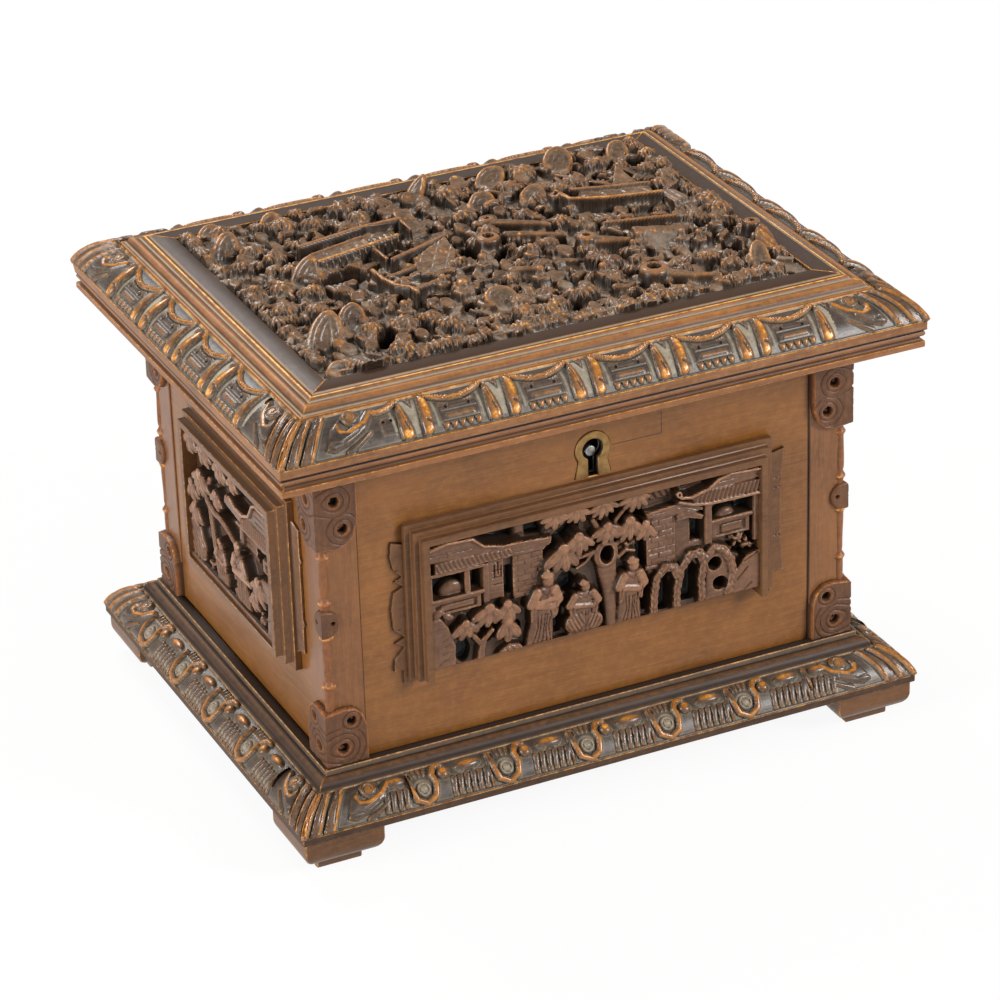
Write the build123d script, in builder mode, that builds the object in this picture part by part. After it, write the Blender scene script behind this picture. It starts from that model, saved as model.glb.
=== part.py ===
from build123d import *
import os
from math import asin, cos, radians, sin, tan

# Carved hardwood jewelry casket on a moulded plinth, with a hinged lid and a box lock.
# Origin under the middle of the feet, +Z up, the keyhole side facing -Y. Millimetres.

# Case
case_width = 207.0
case_depth = 156.0
wall_height = 134.0
base_thickness = 10.0
board_thickness = 10.0
board_setback = 0.6
post_width = 14.0
tongue_length = 4.0
tongue_thickness = 3.0

# Corner post ornament
block_raise = 2.5
head_block_height = 30.0
foot_block_height = 22.0
block_chamfer = 2.0
staff_radius = 1.8
staff_proud = 0.6
boss_radius = 5.0
boss_height = 1.6
boss_level = 64.0

# Feet
foot_height = 15.0
foot_size = 30.5
foot_inset = 1.2
foot_round = 6.0
pad_height = 4.0
pad_step = 0.5

# How far the convex mouldings swell, as a share of their chord
ovolo_swell = 0.13
reed_swell = 0.22
bed_hollow = -0.15

# Plinth moulding
plinth_overhang = 20.2
plinth_height = 18.0
plinth_fillet = 3.0
plinth_ovolo_width = 10.4
plinth_ovolo_rise = 8.8
plinth_reed_width = 4.2
plinth_reed_rise = 3.6
plinth_quirk = 0.8

# Rim moulding round the top of the case
rim_overhang = 21.0
rim_bead = 2.4
rim_bead_round = 1.0
rim_cove = 1.7
rim_cove_depth = 1.5
rim_lip = 2.4
rim_soffit_width = 16.0
rim_bed_height = 4.5
rim_bed_width = 2.8

# Lid
lid_overhang = 21.5
lid_gap = 0.3
lid_fillet = 3.6
lid_quirk = 0.6
lid_ovolo_width = 12.5
lid_ovolo_rise = 9.2
lid_reed_widths = (1.9, 4.2, 1.9)
lid_reed_groove = 0.7
lid_reed_run = 10.3
lid_reed_rise = 5.4
lid_band_width = 7.0
lid_ledge_width = 4.0
lid_ledge_height = 3.0
lid_board_thickness = 7.0
lid_carving_ground = 6.7
lid_carving_relief = 8.3

# Carved border on the lid's ovolo: leaning petals between cartouches, a leaf at each corner.
# Each form is (length along the side, low and high share of the ovolo, how far it stands proud).
border_end = 7.5
border_bed = 0.6
petal_form = (10.6, 0.08, 0.94, 1.2)
swag_form = (17.0, 0.74, 0.94, 1.1)
tablet_form = (12.8, 0.36, 0.62, 0.8)
pellet_form = (15.4, 0.08, 0.20, 0.8)
leaf_form = (30.0, 0.08, 0.94, 1.2)
leaf_start = 8.0

# Stepped frames and carved plaques on the four walls
front_opening_width = 131.0
side_opening_width = 80.0
opening_height = 53.0
side_panel_level = 68.0
side_panel_shift = 7.0
frame_steps = 3
frame_tread = 2.3
frame_riser = 2.8
frame_band = 2.6
panel_recess = 3.0
plaque_ground = 2.0
roof_pitch = 60.0
wing_width = 6.8
wing_height = 52.0
wing_thickness = 1.2
wing_cusp = 1.4
wing_cusp_level = 12.5

# Hinges
hinge_spacing = 124.0
hinge_length = 30.0
hinge_leaf_width = 12.0
hinge_leaf_thickness = 1.0
knuckle_radius = 2.0
hinge_pin_radius = 0.9
hinge_running = 0.05
knuckle_gap = 0.3
hinge_bevel = 50.0
hinge_screw_pitch = 9.5
hinge_screw_set = 7.2

# Lock
lock_x = 2.0
lock_plate_width = 54.0
lock_plate_height = 41.0
lock_plate_thickness = 1.2
lock_cap_width = 44.0
lock_cap_wall = 0.9
lock_cap_lift = 2.5
lock_screw_inset = 8.0
lock_room = 4.6
selvedge_width = 8.0
key_drop = 27.2
keyhole_radius = 4.05
key_slot_width = 3.8
key_slot_drop = 10.6
drill_pin_radius = 2.1
drill_pin_drop = 1.5
drill_pin_recess = 1.4
drill_pin_chamfer = 0.35
bolt_travel = 5.0
bolt_end_gap = 0.6
bolt_bar_length = 30.0
bolt_bar_height = 5.5
bolt_bar_lift = 5.7
bolt_play = 0.3
talon_width = 7.0
talon_depth = 3.0
upright_width = 4.0
upright_height = 10.0
upright_first = -13.0
staple_pitch = 20.0
finger_height = 3.0
finger_thickness = 2.0
staple_thickness = 2.0
staple_width = 3.4
staple_gap = 1.1
staple_foot = 2.0
staple_slot_play = 0.7
eye_play = 0.35
bolt_rest_width = 3.0
bolt_rest_height = 1.8
spring_thickness = 0.5
spring_width = 2.4
spring_foot = 5.0
spring_reach = 8.0
spring_rise = 3.5
spring_swell = 0.1
link_plate_length = 40.0
link_plate_width = 6.4
link_plate_thickness = 1.2
link_screw_inset = 3.6

# Escutcheon
escutcheon_radius = 6.9
escutcheon_neck = 5.8
escutcheon_foot = 7.2
escutcheon_neck_drop = 4.8
escutcheon_thickness = 1.2
escutcheon_let_in = 0.6
escutcheon_gap = 0.5

# Screws
screw_radius = 1.0
screw_head_radius = 1.9
screw_head_height = 0.9
screw_length = 5.5
screw_slot = 0.5
screw_clearance = 0.05

# Lining
floor_pad_thickness = 6.0
floor_pad_round = 2.0
lining_thickness = 1.6
lining_gap = 0.2
lining_drop = 3.0
lock_window = 0.6
lid_lining_thickness = 1.8

# Levels and half sizes that follow from the sizes above
half_width = case_width / 2
half_depth = case_depth / 2
base_top = foot_height + base_thickness
case_top = base_top + wall_height
lid_bottom = case_top + lid_gap
plinth_top = foot_height + plinth_height
rim_depth = rim_bead + rim_cove + rim_lip
rim_bottom = case_top - rim_depth - rim_bed_height
wall_inset = board_setback + board_thickness
well_width = case_width - 2 * wall_inset
well_depth = case_depth - 2 * wall_inset
long_cut = 2 * (case_width + case_depth)
lid_frame_width = lid_quirk + lid_ovolo_width + lid_reed_run + lid_band_width
lid_top = lid_fillet + lid_ovolo_rise + lid_reed_rise
lid_inner = lid_overhang - lid_frame_width
hinge_out = lid_overhang - knuckle_radius
hinge_level = case_top + lid_gap / 2
knuckle_room = knuckle_radius + knuckle_gap
key_level = case_top - key_drop
pin_level = key_level - drill_pin_drop
frame_border = (frame_steps - 1) * frame_tread + frame_band

os.makedirs("parts", exist_ok=True)


def save(builder, name):
    builder.part.label = name
    export_step(builder.part, f"parts/{name}.step")


# Each wall's outer face as a plane: x along the wall, y up, normal outwards.
up = Vector(0, 0, 1)
walls = {
    "front": Plane(origin=(0, -half_depth, 0), x_dir=(1, 0, 0), z_dir=(0, -1, 0)),
    "right": Plane(origin=(half_width, 0, 0), x_dir=(0, 1, 0), z_dir=(1, 0, 0)),
    "back": Plane(origin=(0, half_depth, 0), x_dir=(-1, 0, 0), z_dir=(0, 1, 0)),
    "left": Plane(origin=(-half_width, 0, 0), x_dir=(0, -1, 0), z_dir=(-1, 0, 0)),
}
border_counts = {"front": 6, "right": 5, "back": 6, "left": 5}
wall_spans = {"front": case_width, "right": case_depth, "back": case_width, "left": case_depth}
opening_widths = {
    "front": front_opening_width,
    "right": side_opening_width,
    "back": front_opening_width,
    "left": side_opening_width,
}
panel_centres = {
    "front": (0, key_level - key_slot_drop - escutcheon_gap - frame_border - opening_height / 2),
    "right": (-side_panel_shift, base_top + side_panel_level),
    "back": (0, base_top + side_panel_level),
    "left": (side_panel_shift, base_top + side_panel_level),
}
corners = {
    "front_left": (-1, -1),
    "front_right": (1, -1),
    "back_left": (-1, 1),
    "back_right": (1, 1),
}
hinges = {"left": -hinge_spacing / 2, "right": hinge_spacing / 2}
hinge_planes = [Plane.YZ.offset(x) for x in hinges.values()]


def section_plane(side):
    """Upright section across a wall: x outwards from the wall's face, y up."""
    outward = walls[side].z_dir
    return Plane(origin=walls[side].origin, x_dir=outward, z_dir=outward.cross(up))


def mitre_planes(side):
    """The two 45 degree planes through a wall's ends, facing away from its middle."""
    wall = walls[side]
    planes = []
    for end in (-1, 1):
        corner = wall.origin + wall.x_dir * (end * wall_spans[side] / 2)
        planes.append(Plane(origin=corner, z_dir=wall.x_dir * end - wall.z_dir))
    return planes


def bulge(start, end, share):
    """Middle point of an arc that swells to the right of its run by a share of its chord."""
    run = Vector(*end) - Vector(*start)
    middle = (Vector(*start) + Vector(*end)) * 0.5
    return middle + Vector(run.Y, -run.X) * share


def plinth_section():
    """Fillet, ovolo, torus reed and flat band, from the bottom outer edge up to the wall."""
    edge = foot_height + plinth_fillet
    ovolo_out = plinth_overhang - plinth_quirk
    ovolo_in = (ovolo_out - plinth_ovolo_width, edge + plinth_ovolo_rise)
    reed_out = (ovolo_in[0] - plinth_quirk, ovolo_in[1] + plinth_quirk)
    reed_in = (reed_out[0] - plinth_reed_width, reed_out[1] + plinth_reed_rise)
    Polyline((0, plinth_top), (0, foot_height), (plinth_overhang, foot_height), (plinth_overhang, edge),
             (ovolo_out, edge))
    ThreePointArc((ovolo_out, edge), bulge((ovolo_out, edge), ovolo_in, ovolo_swell), ovolo_in)
    Polyline(ovolo_in, (ovolo_in[0], reed_out[1]), reed_out)
    ThreePointArc(reed_out, bulge(reed_out, reed_in, reed_swell), reed_in)
    Polyline(reed_in, (reed_in[0], plinth_top), (0, plinth_top))


def rim_section():
    """Bead, cove and lip at the edge, a flat soffit and a bed mould against the wall."""
    bead_in = rim_overhang - rim_bead_round
    cove_top = case_top - rim_bead
    lip_top = cove_top - rim_cove
    lip_bottom = lip_top - rim_lip
    bed_out = rim_overhang - rim_soffit_width
    Polyline((0, rim_bottom), (0, case_top), (bead_in, case_top))
    ThreePointArc((bead_in, case_top), (rim_overhang, case_top - rim_bead / 2), (bead_in, cove_top))
    ThreePointArc((bead_in, cove_top), (rim_overhang - rim_cove_depth, cove_top - rim_cove / 2),
                  (bead_in, lip_top))
    Polyline((bead_in, lip_top), (rim_overhang, lip_top), (rim_overhang, lip_bottom), (bed_out, lip_bottom))
    bed_top = (bed_out, lip_bottom)
    bed_foot = (rim_bed_width, rim_bottom)
    ThreePointArc(bed_top, bulge(bed_top, bed_foot, bed_hollow), bed_foot)
    Line(bed_foot, (0, rim_bottom))


def ovolo_point(share, proud):
    """A point on the lid's ovolo, by its share of the arc from the lower edge, and proud of it."""
    edge = lid_bottom + lid_fillet
    start = Vector(lid_overhang - lid_quirk, edge)
    end = start + Vector(-lid_ovolo_width, lid_ovolo_rise)
    chord = (end - start).length
    rise = ovolo_swell * chord
    radius = (chord**2 / 4 + rise**2) / (2 * rise)
    along = (end - start).normalized()
    outward = Vector(along.Y, -along.X)
    half_turn = asin(chord / 2 / radius)
    turn = (2 * share - 1) * half_turn
    centre = (start + end) * 0.5 - outward * (radius - rise)
    return centre + (along * sin(turn) + outward * cos(turn)) * (radius + proud)


def border_section(low, high, proud):
    """A carved form on the lid's ovolo: a strip between two shares of its arc, let into it behind."""
    middle = (low + high) / 2
    inner_low, inner_high = ovolo_point(low, -border_bed), ovolo_point(high, -border_bed)
    outer_low, outer_high = ovolo_point(low, proud), ovolo_point(high, proud)
    Polyline(outer_low, inner_low, inner_high, outer_high)
    ThreePointArc(outer_high, ovolo_point(middle, proud), outer_low)


def border_spots(side):
    """Where the petals, the cartouches and the corner leaves are, along a side."""
    zone = wall_spans[side] - 2 * border_end
    pitch = zone / border_counts[side]
    petals = [k * pitch - zone / 2 for k in range(border_counts[side] + 1)]
    cartouches = [spot + pitch / 2 for spot in petals[:-1]]
    leaf_middle = zone / 2 + leaf_start + leaf_form[0] / 2
    return petals, cartouches, [-leaf_middle, leaf_middle]


def lid_section():
    """Fillet, ovolo, reeds and flat band, with a ledge inside that the lid board rests on."""
    edge = lid_bottom + lid_fillet
    top = lid_bottom + lid_top
    ledge_in = lid_inner - lid_ledge_width
    ledge_top = lid_bottom + lid_ledge_height
    ovolo_out = (lid_overhang - lid_quirk, edge)
    ovolo_in = (ovolo_out[0] - lid_ovolo_width, edge + lid_ovolo_rise)
    Polyline((ledge_in, lid_bottom), (lid_overhang, lid_bottom), (lid_overhang, edge), ovolo_out)
    ThreePointArc(ovolo_out, bulge(ovolo_out, ovolo_in, ovolo_swell), ovolo_in)
    slope = Vector(-lid_reed_run, lid_reed_rise).normalized()
    groove = slope * lid_reed_groove
    here = Vector(*ovolo_in)
    for width in lid_reed_widths:
        start = here + groove
        here = start + slope * width
        Line(start - groove, start)
        ThreePointArc(start, bulge((start.X, start.Y), (here.X, here.Y), reed_swell), here)
    Polyline(here, (lid_inner + lid_band_width, top), (lid_inner, top), (lid_inner, ledge_top),
             (ledge_in, ledge_top), (ledge_in, lid_bottom))


def hinge_bevel_section(level, rise):
    """Wedge behind the hinge line that lets the lid lean back to its stop."""
    reach = lid_overhang + knuckle_radius
    drop = (reach - hinge_out) * tan(radians(hinge_bevel))
    Polyline((hinge_out, level), (reach, level), (reach, level + rise * drop), close=True)


def hinge_beds():
    """Outlines of the beds for both hinges' leaves, seen from above."""
    with Locations(*[(x, half_depth + hinge_out - hinge_leaf_width / 2) for x in hinges.values()]):
        Rectangle(hinge_length, hinge_leaf_width)


def knuckle_section(radius):
    """Round section about the hinge line."""
    with Locations((half_depth + hinge_out, hinge_level)):
        Circle(radius)


def keyhole(bottom, mode=Mode.ADD):
    """Round hole with a slot that runs down to the given level, on a wall's face."""
    with Locations((lock_x, key_level)):
        Circle(keyhole_radius, mode=mode)
    with Locations((lock_x, (key_level + bottom) / 2)):
        Rectangle(key_slot_width, key_level - bottom, mode=mode)


def escutcheon_outline():
    """Round head, straight neck and splayed feet, on the front wall's face."""
    neck_level = key_level - escutcheon_neck_drop
    foot_level = key_level - key_slot_drop
    with Locations((lock_x, key_level)):
        Circle(escutcheon_radius)
    with Locations((lock_x, (key_level + neck_level) / 2)):
        Rectangle(2 * escutcheon_neck, escutcheon_neck_drop)
    Polygon(
        (lock_x - escutcheon_foot, foot_level),
        (lock_x + escutcheon_foot, foot_level),
        (lock_x + escutcheon_neck, neck_level),
        (lock_x - escutcheon_neck, neck_level),
        align=None,
    )


def screw_points(kind):
    """Places of the screws of the lock plate, the hinges' leaves or the link plate, seen from above."""
    leaf_y = half_depth + hinge_out - hinge_screw_set
    link_x = link_plate_length / 2 - link_screw_inset
    if kind == "hinge":
        return [(x + step * hinge_screw_pitch, leaf_y) for x in hinges.values() for step in (-1, 0, 1)]
    return [(lock_x + staple_middle + end * link_x, bolt_y) for end in (-1, 1)]


def screw_solid(mode=Mode.PRIVATE, clearance=0.0):
    """One countersunk wood screw along -Z, its head's face on the origin."""
    with BuildPart(mode=mode) as screw:
        with BuildSketch(Plane.XZ):
            with BuildLine():
                Polyline(
                    (0, 0),
                    (screw_head_radius + clearance, 0),
                    (screw_radius + clearance, -screw_head_height - clearance),
                    (screw_radius + clearance, -screw_length - clearance),
                    (0, -screw_length - clearance),
                    close=True,
                )
            make_face()
        revolve(axis=Axis.Z)
        if clearance == 0:
            Box(2 * screw_head_radius, screw_slot, screw_slot, align=(Align.CENTER, Align.CENTER, Align.MAX),
                mode=Mode.SUBTRACT)
    return screw.part


# Lock places that the front board, the lid and the lock share
board_face_y = -half_depth + board_setback
board_inner_y = board_face_y + board_thickness
plate_front_y = board_inner_y - lock_plate_thickness
cap_inner_y = plate_front_y - lock_room
cap_front_y = cap_inner_y - lock_cap_wall
selvedge_bottom = case_top - lock_plate_thickness
lock_bottom = case_top - lock_plate_height
cap_bottom = lock_bottom + lock_cap_lift
bolt_y = plate_front_y - lock_room / 2
bolt_thickness = lock_room - 2 * bolt_play
bolt_bottom = key_level + bolt_bar_lift
bolt_top = bolt_bottom + bolt_bar_height
finger_level = bolt_top + upright_height - finger_height / 2
finger_length = bolt_travel + bolt_end_gap - staple_gap
staple_first = upright_first + upright_width + finger_length + staple_gap + staple_thickness / 2
staple_middle = staple_first + staple_pitch / 2
staple_places = [lock_x + staple_first + step * staple_pitch for step in (0, 1)]
staple_bottom = finger_level - finger_height / 2 - eye_play - staple_foot
lock_screw_x = (lock_plate_width + lock_cap_width) / 4
lock_screw_levels = [lock_bottom + lock_screw_inset, case_top - lock_screw_inset]

screw = screw_solid()
screw_hole = screw_solid(clearance=screw_clearance)
lock_screw_places = [(lock_x + end * lock_screw_x, level) for end in (-1, 1) for level in lock_screw_levels]
lock_screw_spots = [Plane(origin=(x, board_inner_y, level), x_dir=(1, 0, 0), z_dir=(0, 1, 0))
                    for x, level in lock_screw_places]
hinge_case_spots = [Plane(origin=(x, y, case_top)) for x, y in screw_points("hinge")]
hinge_lid_spots = [Plane(origin=(x, y, lid_bottom), x_dir=(1, 0, 0), z_dir=(0, 0, -1))
                   for x, y in screw_points("hinge")]
link_spots = [Plane(origin=(x, y, lid_bottom), x_dir=(1, 0, 0), z_dir=(0, 0, -1))
              for x, y in screw_points("link")]

# Base board under the walls
with BuildPart() as base_board:
    with BuildSketch(Plane.XY.offset(foot_height)):
        Rectangle(case_width, case_depth)
    extrude(amount=base_thickness)
save(base_board, "base_board")

# Plinth mouldings, mitred round the foot of the case
for side in walls:
    with BuildPart() as plinth:
        with BuildSketch(section_plane(side)):
            with BuildLine():
                plinth_section()
            make_face()
        extrude(amount=long_cut, both=True)
        for plane in mitre_planes(side):
            split(bisect_by=plane, keep=Keep.BOTTOM)
    save(plinth, f"plinth_{side}")

# Block feet with a rounded lower edge, each on a small pad
for corner, (sx, sy) in corners.items():
    foot_x = half_width + plinth_overhang - foot_inset - foot_size / 2
    foot_y = half_depth + plinth_overhang - foot_inset - foot_size / 2
    pad_size = foot_size - 2 * (foot_round + pad_step)
    with BuildPart() as foot:
        with BuildSketch(Plane.XY.offset(pad_height)):
            with Locations((sx * foot_x, sy * foot_y)):
                Rectangle(foot_size, foot_size)
        extrude(amount=foot_height - pad_height)
        fillet(foot.faces().sort_by(Axis.Z)[0].edges(), radius=foot_round)
        with BuildSketch(Plane.XY):
            with Locations((sx * foot_x, sy * foot_y)):
                Rectangle(pad_size, pad_size)
        extrude(amount=pad_height)
    save(foot, f"foot_{corner}")

# Corner posts with raised blocks at head and foot, a staff on the arris and a boss on both faces
for corner, (sx, sy) in corners.items():
    core = post_width - wall_inset
    block_size = post_width + block_raise
    block_x = half_width + block_raise - block_size / 2
    block_y = half_depth + block_raise - block_size / 2
    staff_in = staff_radius - staff_proud
    tongue_x = half_width - board_setback - board_thickness / 2
    tongue_y = half_depth - board_setback - board_thickness / 2
    with BuildPart() as post:
        for low, height, end in (
            (rim_bottom - head_block_height, head_block_height, 0),
            (plinth_top, foot_block_height, -1),
        ):
            with BuildSketch(Plane.XY.offset(low)):
                with Locations((sx * block_x, sy * block_y)):
                    Rectangle(block_size, block_size)
            extrude(amount=height)
            ends = post.faces().filter_by(Axis.Z).sort_by(Axis.Z)
            chamfer(ends[end].edges(), length=block_chamfer)
        with BuildSketch(Plane.XY.offset(base_top)):
            with Locations((sx * (half_width - post_width / 2), sy * (half_depth - post_width / 2))):
                Rectangle(post_width, post_width)
        extrude(amount=wall_height)
        with BuildSketch(Plane.XY.offset(plinth_top)):
            with Locations((sx * (half_width - staff_in), sy * (half_depth - staff_in))):
                Circle(staff_radius)
        extrude(amount=rim_bottom - plinth_top)
        boss_centre = (half_width - post_width / 2, half_depth - post_width / 2)
        with BuildSketch(Plane.XZ.offset(-sy * half_depth)):
            with Locations((sx * boss_centre[0], base_top + boss_level)):
                Circle(boss_radius)
        extrude(amount=-sy * boss_height)
        with BuildSketch(Plane.YZ.offset(sx * half_width)):
            with Locations((sy * boss_centre[1], base_top + boss_level)):
                Circle(boss_radius)
        extrude(amount=sx * boss_height)
        with BuildSketch(Plane.XY.offset(base_top)):
            with Locations((sx * (half_width - post_width), sy * (half_depth - post_width))):
                Rectangle(2 * core, 2 * core)
            with Locations((sx * (half_width - post_width), sy * tongue_y)):
                Rectangle(2 * tongue_length, tongue_thickness)
            with Locations((sx * tongue_x, sy * (half_depth - post_width))):
                Rectangle(tongue_thickness, 2 * tongue_length)
        extrude(amount=wall_height, mode=Mode.SUBTRACT)
    save(post, f"post_{corner}")

# Wall boards, tongued into the posts, each with a shallow recess for its plaque
for side, wall in walls.items():
    board_span = wall_spans[side] - 2 * post_width
    middle = base_top + wall_height / 2
    tongue_inset = board_setback + (board_thickness - tongue_thickness) / 2
    with BuildPart() as board:
        with BuildSketch(wall.offset(-board_setback)):
            with Locations((0, middle)):
                Rectangle(board_span, wall_height)
        extrude(amount=-board_thickness)
        with BuildSketch(wall.offset(-tongue_inset)):
            with Locations((0, middle)):
                Rectangle(board_span + 2 * tongue_length, wall_height)
        extrude(amount=-tongue_thickness)
        with BuildSketch(wall.offset(-board_setback)):
            with Locations(panel_centres[side]):
                Rectangle(opening_widths[side], opening_height)
        extrude(amount=-panel_recess, mode=Mode.SUBTRACT)
        if side == "front":
            with BuildSketch(wall.offset(-board_setback)):
                keyhole(key_level - key_slot_drop)
            extrude(amount=-board_thickness, mode=Mode.SUBTRACT)
            with BuildSketch(wall.offset(-board_setback)):
                escutcheon_outline()
            extrude(amount=-escutcheon_let_in, mode=Mode.SUBTRACT)
            with BuildSketch(Plane.XY.offset(lock_bottom)):
                with Locations((lock_x, board_inner_y - lock_plate_thickness / 2)):
                    Rectangle(lock_plate_width, lock_plate_thickness)
            extrude(amount=lock_plate_height, mode=Mode.SUBTRACT)
            with BuildSketch(Plane.XY.offset(cap_bottom)):
                with Locations((lock_x, (board_inner_y + cap_front_y) / 2)):
                    Rectangle(lock_cap_width, board_inner_y - cap_front_y)
            extrude(amount=case_top - cap_bottom, mode=Mode.SUBTRACT)
            with BuildSketch(Plane.XY.offset(selvedge_bottom)):
                with Locations((lock_x, board_inner_y - selvedge_width / 2)):
                    Rectangle(lock_plate_width, selvedge_width)
            extrude(amount=lock_plate_thickness, mode=Mode.SUBTRACT)
            with Locations(*lock_screw_spots):
                add(screw_hole, mode=Mode.SUBTRACT)
    save(board, f"{side}_board")

# Stepped frames on the wall boards, with a thin cusped wing at each end
for side, wall in walls.items():
    inner_width = opening_widths[side]
    with BuildPart() as frame:
        for step in range(frame_steps):
            border = frame_border - step * frame_tread
            with BuildSketch(wall.offset(-board_setback)):
                with Locations(panel_centres[side]):
                    Rectangle(inner_width + 2 * border, opening_height + 2 * border)
            extrude(amount=(step + 1) * frame_riser)
        for end in (-1, 1):
            root = end * (inner_width / 2 + frame_border - frame_tread / 2)
            edge = end * (inner_width / 2 + frame_border + wing_width - wing_cusp)
            tip = end * (inner_width / 2 + frame_border + wing_width)
            outline = [(root, wing_height / 2), (edge, wing_height / 2 - wing_cusp)]
            for level in (wing_cusp_level, -wing_cusp_level):
                outline += [(edge, level + wing_cusp), (tip, level), (edge, level - wing_cusp)]
            outline += [(edge, -wing_height / 2 + wing_cusp), (root, -wing_height / 2)]
            centre_x, centre_z = panel_centres[side]
            with BuildSketch(wall.offset(-board_setback)):
                with BuildLine():
                    Polyline(*[(centre_x + x, centre_z + z) for x, z in outline], close=True)
                make_face()
            extrude(amount=wing_thickness)
        with BuildSketch(wall.offset(-board_setback)):
            with Locations(panel_centres[side]):
                Rectangle(inner_width, opening_height)
        extrude(amount=frame_steps * frame_riser, mode=Mode.SUBTRACT)
    save(frame, f"{side}_frame")

# Carved plaques: a thin ground with the main masses of a garden scene standing on it.
# Each mass is (form, across, up, width, height, share of the relief), as shares of the plaque's size.
garden = (
    ("roof", -0.36, 0.22, 0.24, 0.14, 0.80),
    ("block", -0.38, -0.05, 0.16, 0.26, 0.55),
    ("round", -0.30, -0.34, 0.26, 0.22, 0.85),
    ("block", -0.12, 0.18, 0.16, 0.30, 0.35),
    ("block", -0.16, -0.16, 0.09, 0.46, 0.90),
    ("round", -0.03, -0.20, 0.12, 0.34, 0.95),
    ("block", 0.04, 0.05, 0.04, 0.60, 0.70),
    ("round", 0.04, 0.34, 0.30, 0.24, 0.95),
    ("block", 0.13, -0.10, 0.09, 0.46, 0.90),
    ("block", 0.20, 0.20, 0.16, 0.30, 0.35),
    ("round", 0.29, -0.22, 0.28, 0.36, 0.85),
    ("block", 0.38, 0.04, 0.16, 0.26, 0.55),
    ("roof", 0.36, 0.28, 0.24, 0.14, 0.80),
)
for side, wall in walls.items():
    width = opening_widths[side]
    ground = wall.offset(plaque_ground - board_setback - panel_recess)
    relief = panel_recess + frame_steps * frame_riser - plaque_ground
    centre_x, centre_z = panel_centres[side]
    with BuildPart() as plaque:
        with BuildSketch(ground):
            with Locations(panel_centres[side]):
                Rectangle(width, opening_height)
        extrude(amount=-plaque_ground)
        for form, across, rise, mass_width, mass_height, share in garden:
            place = (centre_x + across * width, centre_z + rise * opening_height)
            with BuildSketch(ground):
                with Locations(place):
                    if form == "round":
                        Ellipse(mass_width * width / 2, mass_height * opening_height / 2)
                    elif form == "roof":
                        Trapezoid(mass_width * width, mass_height * opening_height, roof_pitch)
                    else:
                        Rectangle(mass_width * width, mass_height * opening_height)
            extrude(amount=share * relief)
    save(plaque, f"{side}_carving")

# Rim mouldings round the top of the case, bevelled along the back edge and recessed for the hinges
for side in walls:
    with BuildPart() as rim:
        with BuildSketch(section_plane(side)):
            with BuildLine():
                rim_section()
            make_face()
        extrude(amount=long_cut, both=True)
        for plane in mitre_planes(side):
            split(bisect_by=plane, keep=Keep.BOTTOM)
        if side != "front":
            with BuildSketch(section_plane("back")):
                with BuildLine():
                    hinge_bevel_section(case_top, -1)
                make_face()
            extrude(amount=long_cut, both=True, mode=Mode.SUBTRACT)
        if side == "back":
            with BuildSketch(Plane.XY.offset(case_top)):
                hinge_beds()
            extrude(amount=-hinge_leaf_thickness, mode=Mode.SUBTRACT)
            with BuildSketch(*hinge_planes):
                knuckle_section(knuckle_room)
            extrude(amount=hinge_length / 2 + knuckle_gap, both=True, mode=Mode.SUBTRACT)
            with Locations(*hinge_case_spots):
                add(screw_hole, mode=Mode.SUBTRACT)
    save(rim, f"rim_{side}")

# Lid mouldings, mitred, bevelled along the back edge; the front one takes the link plate
for side in walls:
    with BuildPart() as moulding:
        with BuildSketch(section_plane(side)):
            with BuildLine():
                lid_section()
            make_face()
        extrude(amount=long_cut, both=True)
        petals, cartouches, leaves = border_spots(side)
        for spots, (length, low, high, proud) in (
            (petals, petal_form),
            (cartouches, swag_form),
            (cartouches, tablet_form),
            (cartouches, pellet_form),
            (leaves, leaf_form),
        ):
            with BuildSketch(*[section_plane(side).offset(spot) for spot in spots]):
                with BuildLine():
                    border_section(low, high, proud)
                make_face()
            extrude(amount=length / 2, both=True)
        for plane in mitre_planes(side):
            split(bisect_by=plane, keep=Keep.BOTTOM)
        if side != "front":
            with BuildSketch(section_plane("back")):
                with BuildLine():
                    hinge_bevel_section(lid_bottom, 1)
                make_face()
            extrude(amount=long_cut, both=True, mode=Mode.SUBTRACT)
        if side == "back":
            with BuildSketch(Plane.XY.offset(lid_bottom)):
                hinge_beds()
            extrude(amount=hinge_leaf_thickness, mode=Mode.SUBTRACT)
            with BuildSketch(*hinge_planes):
                knuckle_section(knuckle_room)
            extrude(amount=hinge_length / 2 + knuckle_gap, both=True, mode=Mode.SUBTRACT)
            with Locations(*hinge_lid_spots):
                add(screw_hole, mode=Mode.SUBTRACT)
        if side == "front":
            with BuildSketch(Plane.XY.offset(lid_bottom)):
                with Locations((lock_x + staple_middle, bolt_y)):
                    Rectangle(link_plate_length, link_plate_width)
            extrude(amount=link_plate_thickness, mode=Mode.SUBTRACT)
            with Locations(*link_spots):
                add(screw_hole, mode=Mode.SUBTRACT)
    save(moulding, f"lid_moulding_{side}")

# Lid board on the mouldings' ledge
lid_opening_width = case_width + 2 * lid_inner
lid_opening_depth = case_depth + 2 * lid_inner
lid_board_bottom = lid_bottom + lid_ledge_height
with BuildPart() as lid_board:
    with BuildSketch(Plane.XY.offset(lid_board_bottom)):
        Rectangle(lid_opening_width, lid_opening_depth)
    extrude(amount=lid_board_thickness)
save(lid_board, "lid_board")

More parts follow.
